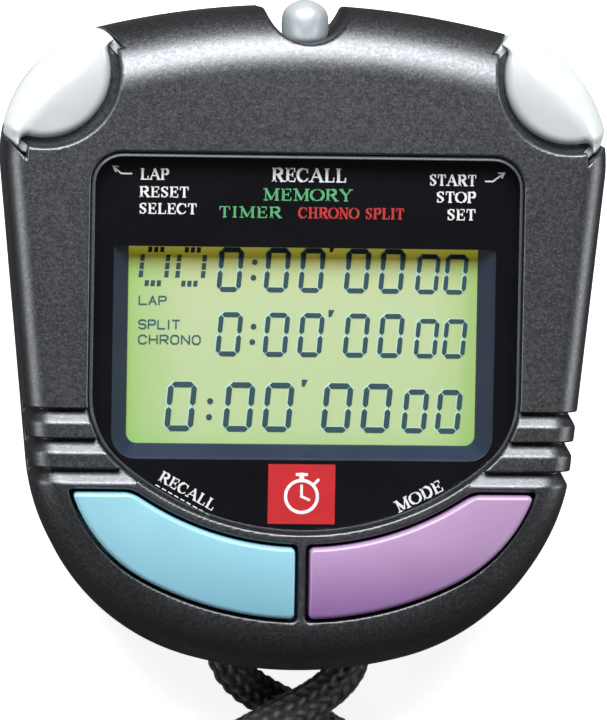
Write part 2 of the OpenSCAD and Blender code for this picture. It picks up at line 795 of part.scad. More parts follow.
module battery_hatch() color([0.16, 0.16, 0.17]) translate([0, cell_y, 0]) difference() {
    union() {
        translate([0, 0, hatch_z[0]]) cylinder(r = hatch_r, h = hatch_z[1] - hatch_z[0]);
        translate([0, 0, hatch_z[1] - 0.1]) cylinder(r = hatch_r - 1.2, h = lug_z[1] - hatch_z[1] + 0.1);
        for (k = [0 : lug_count - 1])
            translate([0, 0, lug_z[0]]) rotate(k * 120 - lug_a / 2)
                rotate_extrude(angle = lug_a)
                    translate([hatch_r - 2.5, 0]) square([lug_r - hatch_r + 2.5, lug_z[1] - lug_z[0]]);
    }
    box([-6.5, 6.5], [-0.9, 0.9], [0, hatch_z[0] + 1]);
    translate([0, 0, 1.15]) rotate_extrude() translate([hatch_r, 0]) circle(0.5);
}

module hatch_seal() color([0.1, 0.1, 0.1])
    translate([0, cell_y, 1.15]) rotate_extrude() translate([hatch_r - 0.02, 0]) intersection() {
        circle(0.46);
        translate([-1, -1]) square([1.12, 2]);
    }

// --- buttons -----------------------------------------------------------------------------------
module start_button() color([0.9, 0.91, 0.93]) corner_cap();
module start_stem() color([0.75, 0.76, 0.78]) diagonal() stem(stem_u, clip_u);
module start_spring() color([0.7, 0.7, 0.72]) diagonal() spring_body(well_u, recess_u);
module start_seal() color([0.1, 0.1, 0.1]) diagonal() seal_body(seal_u);
module start_clip() color([0.5, 0.5, 0.52]) diagonal() clip_body(clip_u);
module start_contact() color([0.85, 0.72, 0.4]) diagonal() contact_body(stem_u[0]);

module lap_button() at_left() start_button();
module lap_stem() at_left() start_stem();
module lap_spring() at_left() start_spring();
module lap_seal() at_left() start_seal();
module lap_clip() at_left() start_clip();
module lap_contact() at_left() start_contact();

module crown_button() color([0.75, 0.79, 0.84]) crown_cap();
module crown_stem() color([0.75, 0.76, 0.78]) upward() stem(crown_stem_u, crown_clip_u);
module crown_spring() color([0.7, 0.7, 0.72]) upward()
    along_stem(crown_well_u) sleeve(1.9, stem_r + 0.3, crown_recess_u - crown_well_u - 0.1);
module crown_seal() color([0.1, 0.1, 0.1]) upward() seal_body(crown_seal_u);
module crown_clip() color([0.5, 0.5, 0.52]) upward() clip_body(crown_clip_u);
module crown_contact() color([0.85, 0.72, 0.4]) upward() contact_body(crown_stem_u[0]);

// --- keys ----------------------------------------------------------------------------------------
key_flange_z = [13.6, 14.5];
plunger = [12.5, -24.6];
sheet_t = 1;
dome_gap = 0.05;

module key_body() {
    flange = 0.6;
    edge = 0.5;
    key_slab([key_flange_z[0], key_z - edge]);
    key_slab([key_flange_z[0], key_z], -edge);
    key_slab(key_flange_z, flange);
    translate([plunger[0], plunger[1], key_flange_z[0] - 1]) cylinder(r = 2.2, h = 1.5);
}

module rubber_dome() {
    top = key_flange_z[0] - 1 - dome_gap - board_z[1] - sheet_t;
    translate([plunger[0], plunger[1], board_z[1] + sheet_t]) {
        cylinder(r = 2, h = top);
        cylinder(r = 3.4, h = top / 2);
    }
}

module recall_key() color([0.59, 0.83, 0.91]) at_left() key_body();
module mode_key() color([0.68, 0.55, 0.8]) key_body();
module recall_dome() color([0.75, 0.75, 0.75]) at_left() rubber_dome();
module mode_dome() color([0.75, 0.75, 0.75]) rubber_dome();
module keypad_sheet() color([0.6, 0.6, 0.62])
    box([-17, 17], [-28, -20], [board_z[1], board_z[1] + sheet_t]);

// --- lanyard ---------------------------------------------------------------------------------------
cord_r = cord_d / 2;
route_left = [
    [-7.2, -33.5, 5], [-7.1, -35.4, 4.9], [-6.3, -37.6, 4.5], [-4.6, -39.5, 3.7],
    [-2.4, -41, 2.9], [0, -42.3, 2.4], [4, -44.6, 2.3], [9, -47.5, 2.3], [14.75, -50.9, 2.3]
];
route_right = [
    [7.2, -33.5, 5], [7.1, -35.4, 5.3], [6.3, -37.6, 5.9], [4.6, -39.5, 6.5],
    [2.4, -41, 6.9], [0, -42.3, 7], [-4, -44.6, 6.4], [-9, -47.5, 6.1], [-14.75, -50.9, 6.6]
];
coil_wide = 3;
coil_high = 2;
ferrule_a = -62;
ferrule_span = 24;
ferrule_r = 2.9;
tie_w = 5;
tie_t = 0.8;

function tangent(p, i) = unit(p[min(i + 1, len(p) - 1)] - p[max(i - 1, 0)]);
function ring_at(p, i, r, sides) =
    let(t = i == 0 ? [0, -1, 0] : tangent(p, i), across = unit(cross(t, [0, 0, 1])), up = cross(across, t))
    [for (k = [0 : sides - 1])
        p[i] + across * r * cos(360 * k / sides) + up * r * sin(360 * k / sides)];

// A tube of round section swept along the points of a route
module swept_tube(p, r, sides = 10) {
    n = len(p);
    points = [for (i = [0 : n - 1]) each ring_at(p, i, r, sides)];
    ends = [
        [for (k = [0 : sides - 1]) k],
        [for (k = [0 : sides - 1]) n * sides - 1 - k]
    ];
    sides_faces = [
        for (i = [0 : n - 2], k = [0 : sides - 1])
            let(a = i * sides + k, b = i * sides + (k + 1) % sides)
            each [[a, a + sides, b], [b, a + sides, b + sides]]
    ];
    polyhedron(points, concat(ends, sides_faces));
}

module lanyard_inner() color([0.08, 0.08, 0.09]) intersection() {
    tunnel_shape(cord_r);
    box([-far, far], [inner_end_y, far], [0, far]);
}
module lanyard_left() color([0.08, 0.08, 0.09]) swept_tube(route_left, cord_r);
module lanyard_right() color([0.08, 0.08, 0.09]) swept_tube(route_right, cord_r);

module ferrule_ring(r_out, r_in, span) {
    translate([0, coil_y, 0]) rotate(ferrule_a - span / 2) rotate_extrude(angle = span)
        translate([coil_r + cord_d, cord_d * 1.5]) difference() {
            circle(r_out);
            circle(r_in);
        }
}

module tie_loop(grow) {
    half = coil_wide * cord_r + 0.3;
    tall = coil_high * cord_d + 0.3;
    translate([0, coil_y - coil_r, 0]) difference() {
        box([-tie_w / 2 - grow, tie_w / 2 + grow], [-half - tie_t, half + tie_t], [0, tall + tie_t]);
        box([-tie_w, tie_w], [-half, half], [tie_t + grow, tall]);
    }
}

module lanyard_coil() color([0.08, 0.08, 0.09]) difference() {
    translate([0, coil_y, 0]) rotate_extrude()
        translate([coil_r - coil_wide * cord_r, 0]) square([coil_wide * cord_d, coil_high * cord_d]);
    ferrule_ring(ferrule_r + 0.05, cord_r + 0.02, ferrule_span + 1);
    tie_loop(0.1);
}
module lanyard_ferrule() color([0.6, 0.6, 0.62]) ferrule_ring(ferrule_r, cord_r + 0.05, ferrule_span);
module lanyard_tie() color([0.1, 0.1, 0.1]) tie_loop(0);

front_case();
rear_case();
case_gasket();
case_screws();
window_lens();
window_mask();
lcd_bezel();
lcd_front_glass();
lcd_rear_glass();
lcd_reflector();
lcd_connectors();
module_frame();
main_board();
chip_cover();
quartz_can();
board_parts();
board_screws();
coin_cell();
cell_holder();
cell_plus_clip();
cell_minus_spring();
buzzer_disc();
buzzer_spring();
battery_hatch();
hatch_seal();
start_button();
start_stem();
start_spring();
start_seal();
start_clip();
start_contact();
lap_button();
lap_stem();
lap_spring();
lap_seal();
lap_clip();
lap_contact();
crown_button();
crown_stem();
crown_spring();
crown_seal();
crown_clip();
crown_contact();
recall_key();
mode_key();
recall_dome();
mode_dome();
keypad_sheet();
lanyard_inner();
lanyard_left();
lanyard_right();
lanyard_coil();
lanyard_ferrule();
lanyard_tie();
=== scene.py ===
import bmesh
import bpy
import math
import numpy as np
from mathutils import Matrix, Vector


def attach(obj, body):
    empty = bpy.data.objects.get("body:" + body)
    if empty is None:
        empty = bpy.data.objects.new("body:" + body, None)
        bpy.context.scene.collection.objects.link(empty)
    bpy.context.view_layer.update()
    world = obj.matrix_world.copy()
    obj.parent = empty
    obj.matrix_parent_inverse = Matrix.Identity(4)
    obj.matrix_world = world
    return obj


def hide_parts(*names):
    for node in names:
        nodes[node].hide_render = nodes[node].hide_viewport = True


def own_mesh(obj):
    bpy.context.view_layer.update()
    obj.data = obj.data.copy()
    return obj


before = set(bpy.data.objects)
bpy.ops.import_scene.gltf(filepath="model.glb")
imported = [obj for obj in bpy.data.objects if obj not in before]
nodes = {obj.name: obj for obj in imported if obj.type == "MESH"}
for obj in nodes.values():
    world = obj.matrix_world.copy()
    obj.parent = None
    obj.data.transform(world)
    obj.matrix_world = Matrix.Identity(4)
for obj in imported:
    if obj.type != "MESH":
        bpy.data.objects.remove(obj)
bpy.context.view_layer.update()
MM = 0.001
SCENE = bpy.context.scene

# ------------------------------------------------------------------ driving dimensions
# The last letter tells what a number is: X, Y or Z a place on an axis, U or V a place along or
# across the diagonal on which a corner button moves, R a radius, D a diameter or a depth.
SHOULDER_X, SHOULDER_Y, WAIST_X = 33.0, 20.0, 29.5
CASE_TOP, CASE_BOTTOM = 36.1, -36.8
TOP_R, BOTTOM_R, SHOULDER_R, LOWER_R = 90.0, 46.0, 14.5, 24.0
FRONT_Z, PARTING_Z, WALL_T, FLOOR_T = 19.0, 5.0, 2.4, 2.0
ROUND_TOP, ROUND_SIDE, ROUND_BOTTOM, ROUND_REAR = 7.0, 3.0, 6.0, 3.5
WINDOW_X, WINDOW_TOP, WINDOW_R, WINDOW_BOTTOM = 23.65, 20.2, 31.0, -21.3
WINDOW_CORNER_R, WINDOW_TURN_R, LEDGE_Z = 3.5, 10.0, 16.6
KEY_R, KEY_BOTTOM, KEY_TOP, KEY_INNER_R = 37.0, -30.5, -16.8, 32.4
KEY_BAR, KEY_GAP, KEY_Z, KEY_TURN_R, KEY_TURN_A = 0.8, 0.35, 19.9, 17.0, -63.0
PLUNGER_X, PLUNGER_Y = 12.5, -24.6
DOME_U, DOME_R, POCKET_R, POCKET_Z, CAP_W, DOME_Z = 40.6, 7.2, 8.2, 14.2, 15.7, 18.2
WING_IN, WING_Z, WING_LOW, SLOT_U, SLOT_V, TRAVEL = 13.1, 17.8, 5.4, 31.3, 8.0, 0.7
COLLAR_R, COLLAR_GAP, COLLAR_V = 9.1, 0.9, 6.9
COLLAR_Z, COLLAR_SLOT = (14.4, 15.7), (14.0, 15.9)
STEM_Z, STEM_R, WELL_R, SPRING_U, SPRING_Y = 11.4, 1.0, 2.6, 28.4, 29.9
CROWN_R, CROWN_BALL_R, CROWN_TIP, SCOOP_R = 2.6, 2.82, 36.8, 4.7
GROOVE_Y, GROOVE_PITCH, GROOVE_W, GROOVE_D = -7.7, 3.27, 1.6, 1.1
GROOVE_X, GROOVE_Z = 18.2, 7.0
CAVITY_Y, CAVITY_U, CAVITY_Z = 27.4, 25.9, 14.8
BLOCK_X, BLOCK_Y, BLOCK_Z, BEND_Y, MOUTH_Y = 11.5, -19.8, 8.8, -31.2, -33.9
SEAT_X, SEAT_Y, SEAT_Z = 22.2, 14.4, 13.0
CORD_D, CORD_X, COIL_R, COIL_Y = 4.5, 7.2, 25.0, -76.4
CELL_Y, HATCH_R, LUG_R = 3.0, 12.0, 13.4
SCREWS, SCREW_HEAD_R, SCREW_R = ((22.3, -21.6), (13, 30.4)), 2.15, 1.15
LCD_Z, MASK_Z, INK_Z = 14.62, (16.6, 16.8), (16.8, 16.82)


# ------------------------------------------------------------------ distances to shapes
def meet(a, b, r=0.0):
    """Where both shapes are, with the edge between them rounded to r."""
    if np.isscalar(r) and r <= 0:
        return np.maximum(a, b)
    u, v = np.maximum(a + r, 0), np.maximum(b + r, 0)
    return np.minimum(np.maximum(a, b), -r) + np.hypot(u, v)


def join(a, b, r=0.0):
    return -meet(-a, -b, r)


def cut(a, b, r=0.0):
    """The first shape less the second, with the new edge rounded to r."""
    return meet(a, -b, r)


def between(v, low, high):
    return np.maximum(low - v, v - high)


def rad(degrees):
    return math.radians(degrees)


def unit(v):
    v = np.asarray(v, float)
    return v / np.linalg.norm(v)


class Outline:
    """A convex outline of arcs that touch, symmetric about x = 0: each is (centre, radius,
    direction of its lower end, direction of its upper end)."""

    def __init__(self, *arcs):
        self.arcs = arcs

    def __call__(self, x, y):
        x = np.abs(x)
        best = None
        for c, r, low, high in self.arcs:
            px, py = x - c[0], y - c[1]
            n0, n1 = (math.cos(low), math.sin(low)), (math.cos(high), math.sin(high))
            ends = np.maximum(px * n0[0] + py * n0[1], px * n1[0] + py * n1[1])
            inside = (n0[0] * py - n0[1] * px >= 0) & (px * n1[1] - py * n1[0] >= 0)
            d = np.where(inside, np.hypot(px, py), ends) - r
            best = d if best is None else np.maximum(best, d)
        return best

    def loop(self, d=0.0, step=1.5):
        """Points of the outline, drawn d inside it, clockwise from the top."""
        right = []
        for c, r, low, high in self.arcs:
            n = max(1, int(math.ceil((high - low) * max(r - d, 1) / step)))
            for k in range(n + 1):
                a = high + (low - high) * k / n
                right.append((c[0] + (r - d) * math.cos(a), c[1] + (r - d) * math.sin(a)))
        out = []
        for p in right + [(-x, y) for x, y in reversed(right)]:
            if not out or math.dist(p, out[-1]) > 0.02:
                out.append(p)
        if math.dist(out[0], out[-1]) < 0.02:
            out.pop()
        return out


LEAN = math.atan((SHOULDER_X - WAIST_X) / 35)
SIDE_DIR = np.array([math.sin(LEAN), math.cos(LEAN)])
SIDE_OUT = np.array([math.cos(LEAN), -math.sin(LEAN)])


def touching(arc_c, arc_r, r, way):
    """Middle of a circle that touches the side line and, from inside, an arc."""
    v = np.array([SHOULDER_X, SHOULDER_Y]) - SIDE_OUT * r - arc_c
    b = v @ SIDE_DIR
    return v + arc_c + SIDE_DIR * (-b + way * math.sqrt(b * b - v @ v + (arc_r - r) ** 2))


def heading(v):
    return math.atan2(v[1], v[0])


TOP_C, BOTTOM_C = np.array([0, CASE_TOP - TOP_R]), np.array([0, CASE_BOTTOM + BOTTOM_R])
SHOULDER_C = touching(TOP_C, TOP_R, SHOULDER_R, 1)
LOWER_C = touching(BOTTOM_C, BOTTOM_R, LOWER_R, -1)
TOP_TURN, BOTTOM_TURN = heading(SHOULDER_C - TOP_C), heading(LOWER_C - BOTTOM_C)
CASE = Outline(
    (TOP_C, TOP_R, TOP_TURN, rad(90)),
    (SHOULDER_C, SHOULDER_R, -LEAN, TOP_TURN),
    (LOWER_C, LOWER_R, BOTTOM_TURN, -LEAN),
    (BOTTOM_C, BOTTOM_R, rad(-90), BOTTOM_TURN),
)
WINDOW_C = np.array([0, WINDOW_BOTTOM + WINDOW_R])
TURN_X = WINDOW_X - WINDOW_TURN_R
TURN_C = np.array(
    [TURN_X, WINDOW_C[1] - math.sqrt((WINDOW_R - WINDOW_TURN_R) ** 2 - TURN_X**2)]
)
CORNER_C = np.array([WINDOW_X - WINDOW_CORNER_R, WINDOW_TOP - WINDOW_CORNER_R])
WINDOW_TURN = heading(TURN_C - WINDOW_C)
WINDOW = Outline(
    (CORNER_C, WINDOW_CORNER_R, 0.0, rad(90)),
    (TURN_C, WINDOW_TURN_R, WINDOW_TURN, 0.0),
    (WINDOW_C, WINDOW_R, rad(-90), WINDOW_TURN),
)
KEY_C = np.array([0, KEY_BOTTOM + KEY_R])
KEY_TURN_C = KEY_C + (KEY_R - KEY_TURN_R) * np.array(
    [math.cos(rad(KEY_TURN_A)), math.sin(rad(KEY_TURN_A))]
)
KEYS = Outline(
    (KEY_TURN_C, KEY_TURN_R, rad(KEY_TURN_A), rad(90)),
    (KEY_C, KEY_R, rad(-90), rad(KEY_TURN_A)),
)


def key_plan(x, y, grow=0.0, corner=0.0):
    """Distance to the outline of the two keys, seen from the front."""
    d = meet(KEYS(x, y) - grow, y - KEY_TOP - grow, corner)
    d = meet(d, KEY_INNER_R - grow - np.hypot(x, y - WINDOW_C[1]), corner)
    return meet(d, KEY_BAR - grow - np.abs(x), corner)


def diagonal(x, y):
    """Along and across the diagonal on which the right-hand corner button moves."""
    return (x + y) / math.sqrt(2), (y - x) / math.sqrt(2)


# ------------------------------------------------------------------ meshes
def new_piece(name, verts, faces, normals=None, smooth=True):
    mesh = bpy.data.meshes.new(name)
    v = np.asarray(verts, np.float64) * MM
    if isinstance(faces, np.ndarray):
        mesh.vertices.add(len(v))
        mesh.vertices.foreach_set("co", v.ravel())
        n, k = faces.shape
        mesh.loops.add(n * k)
        mesh.loops.foreach_set("vertex_index", faces.ravel().astype(np.int32))
        mesh.polygons.add(n)
        mesh.polygons.foreach_set("loop_start", np.arange(0, n * k, k, dtype=np.int32))
        mesh.update(calc_edges=True)
    else:
        mesh.from_pydata(v.tolist(), [], faces)
    mesh.validate()
    mesh.polygons.foreach_set("use_smooth", np.full(len(mesh.polygons), smooth))
    if normals is not None and len(mesh.vertices) == len(normals):
        mesh.normals_split_custom_set_from_vertices([tuple(q) for q in normals])
    mesh.update()
    obj = bpy.data.objects.new(name, mesh)
    SCENE.collection.objects.link(obj)
    return obj


def surface(name, distance, low, high, h):
    """Mesh of the surface where distance(x, y, z) is 0: one point in each cell of a grid that
    the surface passes, pulled onto the surface, with the surface's own normals."""
    low, high = np.array(low, float) - 2 * h, np.array(high, float) + 2 * h
    n = np.ceil((high - low) / h).astype(int) + 1
    ax = [low[i] + h * np.arange(n[i]) for i in range(3)]
    f = distance(ax[0][:, None, None], ax[1][None, :, None], ax[2][None, None, :])
    f = np.broadcast_to(f, n).astype(np.float32)
    s = f < 0
    c = s[:-1, :-1, :-1].astype(np.int8)
    for dx in (0, 1):
        for dy in (0, 1):
            for dz in (0, 1):
                if dx or dy or dz:
                    c += s[dx : n[0] - 1 + dx, dy : n[1] - 1 + dy, dz : n[2] - 1 + dz]
    cells = np.argwhere((c > 0) & (c < 8))
    index = np.full(c.shape, -1, np.int64)
    index[tuple(cells.T)] = np.arange(len(cells))
    corners = np.array([[i >> 2 & 1, i >> 1 & 1, i & 1] for i in range(8)])
    value = np.stack([f[tuple((cells + q).T)] for q in corners], 1).astype(np.float64)
    total, count = np.zeros((len(cells), 3)), np.zeros(len(cells))
    for a in range(8):
        for b in range(a + 1, 8):
            if np.abs(corners[a] - corners[b]).sum() != 1:
                continue
            va, vb = value[:, a], value[:, b]
            cross = (va < 0) != (vb < 0)
            t = np.where(cross, va / np.where(cross, va - vb, 1), 0)
            total += cross[:, None] * (corners[a] + t[:, None] * (corners[b] - corners[a]))
            count += cross
    v = low + h * (cells + total / count[:, None])
    faces = []
    for axis in range(3):
        b, d = (axis + 1) % 3, (axis + 2) % 3
        first = s.take(range(n[axis] - 1), axis)
        second = s.take(range(1, n[axis]), axis)
        at = np.argwhere(first != second)
        at = at[(at[:, b] > 0) & (at[:, d] > 0) & (at[:, b] < n[b] - 1) & (at[:, d] < n[d] - 1)]
        quad = []
        for db, dd in ((1, 1), (0, 1), (0, 0), (1, 0)):
            q = at.copy()
            q[:, b] -= db
            q[:, d] -= dd
            quad.append(index[tuple(q.T)])
        quad = np.stack(quad, 1)
        flip = ~first[tuple(at.T)]
        quad[flip] = quad[flip][:, ::-1]
        faces.append(quad)
    faces = np.concatenate(faces)

    def slope(p, e=0.02):
        steps = e * np.eye(3)
        return np.stack([distance(*(p + d).T) - distance(*(p - d).T) for d in steps], 1) / (2 * e)

    home = v.copy()
    for _ in range(3):
        g = slope(v)
        step = distance(*v.T)[:, None] * g / np.maximum((g * g).sum(1), 0.25)[:, None]
        v = v - np.clip(step, -h, h)
        v = home + np.clip(v - home, -0.9 * h, 0.9 * h)
    g = slope(v)
    g /= np.maximum(np.linalg.norm(g, axis=1), 1e-6)[:, None]
    return new_piece(name, v, faces, g)


def strip(loops, cap=True):
    """Faces between closed loops of equally many points, with flat ends if wanted."""
    n = len(loops[0])
    verts = [p for loop in loops for p in loop]
    faces = []
    for k in range(len(loops) - 1):
        for i in range(n):
            j = (i + 1) % n
            faces.append((k * n + i, k * n + j, (k + 1) * n + j, (k + 1) * n + i))
    if cap:
        faces.append(tuple(reversed(range(n))))
        faces.append(tuple(range((len(loops) - 1) * n, len(loops) * n)))
    return verts, faces


def face_outwards(obj, merge=False):
    """Makes a mesh's faces point outwards, after joining equal points if wanted."""
    bm = bmesh.new()
    bm.from_mesh(obj.data)
    if merge:
        bmesh.ops.remove_doubles(bm, verts=bm.verts, dist=1e-7)
    bmesh.ops.recalc_face_normals(bm, faces=bm.faces)
    bm.to_mesh(obj.data)
    bm.free()
    return obj


def bevelled(obj, width=0.15, segments=2, angle=35):
    m = obj.modifiers.new("bevel", "BEVEL")
    m.width, m.segments, m.limit_method, m.angle_limit = width * MM, segments, "ANGLE", rad(angle)
    m.harden_normals = True
    return obj


def rounded_rectangle(x, y, r, n=6):
    """Points round a rectangle; r has the corner radii (lower, upper)."""
    out = []
    for cx, cy, a0, rr in (
        (x[1] - r[1], y[1] - r[1], 90, r[1]),
        (x[1] - r[0], y[0] + r[0], 0, r[0]),
        (x[0] + r[0], y[0] + r[0], -90, r[0]),
        (x[0] + r[1], y[1] - r[1], -180, r[1]),
    ):
        for k in range(n + 1):
            a = rad(a0 - 90 * k / n)
            out.append((cx + rr * math.cos(a), cy + rr * math.sin(a)))
    return out


# ------------------------------------------------------------------ materials
def nodes_of(name):
    mat = bpy.data.materials.new(name)
    mat.use_nodes = True
    nt = mat.node_tree
    return mat, nt, nt.nodes["Principled BSDF"]


def add(nt, kind, **values):
    node = nt.nodes.new(kind)
    for key, value in values.items():
        if hasattr(node, key) and key not in node.inputs:
            setattr(node, key, value)
        else:
            node.inputs[key].default_value = value
    return node


def own_coords(nt):
    """The object's own coordinates, from one node for the whole material."""
    node = nt.nodes.get("Texture Coordinate") or nt.nodes.new("ShaderNodeTexCoord")
    return node.outputs["Object"]


def noise(nt, scale, detail=3.0, rough=0.6, coords=None):
    node = add(nt, "ShaderNodeTexNoise", Scale=scale, Detail=detail, Roughness=rough)
    nt.links.new(coords or own_coords(nt), node.inputs["Vector"])
    return node.outputs["Fac"]


def stretched(nt, vector, scale):
    mapping = add(nt, "ShaderNodeMapping", Scale=scale)
    nt.links.new(vector, mapping.inputs["Vector"])
    return mapping.outputs["Vector"]


def along(nt, axis, low, high):
    """0 to 1 as the object's own coordinate on an axis goes from low to high."""
    split = nt.nodes.get("Separate XYZ") or nt.nodes.new("ShaderNodeSeparateXYZ")
    nt.links.new(own_coords(nt), split.inputs["Vector"])
    span = nt.nodes.new("ShaderNodeMapRange")
    span.inputs["From Min"].default_value = low
    span.inputs["From Max"].default_value = high
    nt.links.new(split.outputs[axis], span.inputs["Value"])
    return span.outputs["Result"]


def ramp(nt, fac, stops):
    node = nt.nodes.new("ShaderNodeValToRGB")
    while len(node.color_ramp.elements) < len(stops):
        node.color_ramp.elements.new(0.5)
    for e, (pos, colour) in zip(node.color_ramp.elements, stops):
        e.position = pos
        e.color = (*colour, 1) if not np.isscalar(colour) else (colour, colour, colour, 1)
    nt.links.new(fac, node.inputs["Fac"])
    return node.outputs["Color"]


def vary(nt, socket, fac, low, high, at=(0.3, 0.7)):
    """Feeds a socket with low to high, as fac goes between the two places in at."""
    nt.links.new(ramp(nt, fac, [(at[0], low), (at[1], high)]), socket)


def tint(colour, k):
    return tuple(np.minimum(np.array(colour) * k, 1))


def product(nt, a, b):
    mix = add(nt, "ShaderNodeMixRGB", blend_type="MULTIPLY", Fac=1.0)
    nt.links.new(a, mix.inputs["Color1"])
    nt.links.new(b, mix.inputs["Color2"])
    return mix.outputs["Color"]


def bump(nt, shader, fac, strength, distance, chain=None):
    node = add(nt, "ShaderNodeBump", Strength=strength, Distance=distance)
    nt.links.new(fac, node.inputs["Height"])
    if chain is not None:
        nt.links.new(chain, node.inputs["Normal"])
    nt.links.new(node.outputs["Normal"], shader.inputs["Normal"])
    return node.outputs["Normal"]


def moulded(name, colour, spread=0.15, roughness=(0.4, 0.55), grain=900.0, depth=0.00001,
            metallic=0.0, coat=0.0, cloud=60.0):
    """Moulded or painted plastic: slight cloudiness of colour and gloss, and a fine grain."""
    mat, nt, sh = nodes_of(name)
    dark, light = tint(colour, 1 - spread), tint(colour, 1 + spread)
    vary(nt, sh.inputs["Base Color"], noise(nt, cloud, 4), dark, light)
    vary(nt, sh.inputs["Roughness"], noise(nt, cloud * 4, 3), *roughness)
    sh.inputs["Metallic"].default_value = metallic
    sh.inputs["Coat Weight"].default_value = coat
    sh.inputs["Coat Roughness"].default_value = 0.15
    bump(nt, sh, noise(nt, grain, 2), 0.35, depth)
    return mat


def speckled_case(name, dark, light, flake, roughness):
    """Graphite paint with fine metallic flakes and a slight orange peel."""
    mat, nt, sh = nodes_of(name)
    mix = add(nt, "ShaderNodeMixRGB", blend_type="MIX", Color2=(*flake, 1))
    vary(nt, mix.inputs["Fac"], noise(nt, 5200, 1, 0.5), 0.0, 0.8, (0.5, 0.75))
    vary(nt, mix.inputs["Color1"], noise(nt, 45, 5, 0.7), dark, light, (0.25, 0.8))
    nt.links.new(mix.outputs["Color"], sh.inputs["Base Color"])
    vary(nt, sh.inputs["Roughness"], noise(nt, 2600, 2), *roughness, (0.35, 0.65))
    sh.inputs["Metallic"].default_value = 0.95
    sh.inputs["Specular IOR Level"].default_value = 0.5
    first = bump(nt, sh, noise(nt, 1500, 3, 0.65), 0.5, 0.00004)
    bump(nt, sh, noise(nt, 260, 2), 0.2, 0.00008, first)
    return mat


def brushed(name, colour, roughness=0.28, scale=(30, 900, 900)):
    """Metal with fine lines along the axis of the smallest scale."""
    mat, nt, sh = nodes_of(name)
    lines = noise(nt, 3.0, 4, 0.6, stretched(nt, own_coords(nt), scale))
    vary(nt, sh.inputs["Base Color"], lines, tint(colour, 0.75), colour)
    vary(nt, sh.inputs["Roughness"], lines, roughness, roughness + 0.15)
    sh.inputs["Metallic"].default_value = 1.0
    bump(nt, sh, lines, 0.15, 0.00002)
    return mat


def plastic_with_painted_light(name, low, high, span):
    """Key plastic with painted light: its colour goes from low at the bottom, in painted shade, to
    high at the top, painted highlight, along Y.
    """
    mat, nt, sh = nodes_of(name)
    # painted light: lighter towards the top, where the lamp is, and darker towards the bottom
    colour = ramp(nt, along(nt, "Y", *span), [(0.0, low), (1.0, high)])
    cloud = ramp(nt, noise(nt, 70, 4), [(0.3, 0.92), (0.7, 1.0)])
    nt.links.new(product(nt, colour, cloud), sh.inputs["Base Color"])
    vary(nt, sh.inputs["Roughness"], noise(nt, 260, 3), 0.32, 0.42)
    sh.inputs["Metallic"].default_value = 0.1
    sh.inputs["Coat Weight"].default_value = 0.15
    sh.inputs["Coat Roughness"].default_value = 0.15
    bump(nt, sh, noise(nt, 2400, 2), 0.35, 0.00001)
    return mat


def rubber(name, colour):
    return moulded(name, colour, 0.2, (0.65, 0.85), 2200, 0.00002, cloud=150)


def ink(name, colour, roughness=0.45):
    mat, nt, sh = nodes_of(name)
    dark, light = tint(colour, 0.92), tint(colour, 1.05)
    vary(nt, sh.inputs["Base Color"], noise(nt, 1800, 2), dark, light)
    sh.inputs["Roughness"].default_value = roughness
    return mat


def board_material(name):
    """Green solder mask over copper tracks."""
    mat, nt, sh = nodes_of(name)
    brick = add(nt, "ShaderNodeTexBrick", Scale=160.0)
    brick.inputs["Mortar Size"].default_value = 0.03
    brick.inputs["Color1"].default_value = (0.012, 0.12, 0.04, 1)
    brick.inputs["Color2"].default_value = (0.015, 0.14, 0.05, 1)
    brick.inputs["Mortar"].default_value = (0.03, 0.24, 0.09, 1)
    nt.links.new(own_coords(nt), brick.inputs["Vector"])
    nt.links.new(brick.outputs["Color"], sh.inputs["Base Color"])
    sh.inputs["Roughness"].default_value = 0.3
    bump(nt, sh, brick.outputs["Fac"], 0.3, 0.00003)
    return mat


def lens_material(name):
    """Clear moulded plastic, drawn as a thin film so that light reaches the display."""
    mat, nt, sh = nodes_of(name)
    sh.inputs["Base Color"].default_value = (0.02, 0.022, 0.025, 1)
    vary(nt, sh.inputs["Roughness"], noise(nt, 300, 2), 0.05, 0.09)
    sh.inputs["IOR"].default_value = 1.49
    facing = add(nt, "ShaderNodeLayerWeight", Blend=0.35)
    film = ramp(nt, facing.outputs["Facing"], [(0.0, 0.03), (0.25, 0.05), (0.8, 0.75)])
    nt.links.new(film, sh.inputs["Alpha"])
    return mat


def painted_edge_highlight(name, colour, alpha):
    """The lens's bevel: its shape is real, its grey is a painted highlight along the edge."""
    mat, nt, sh = nodes_of(name)
    vary(nt, sh.inputs["Base Color"], noise(nt, 900, 3), tint(colour, 0.8), colour)
    sh.inputs["Roughness"].default_value = 0.3
    sh.inputs["Alpha"].default_value = alpha
    return mat


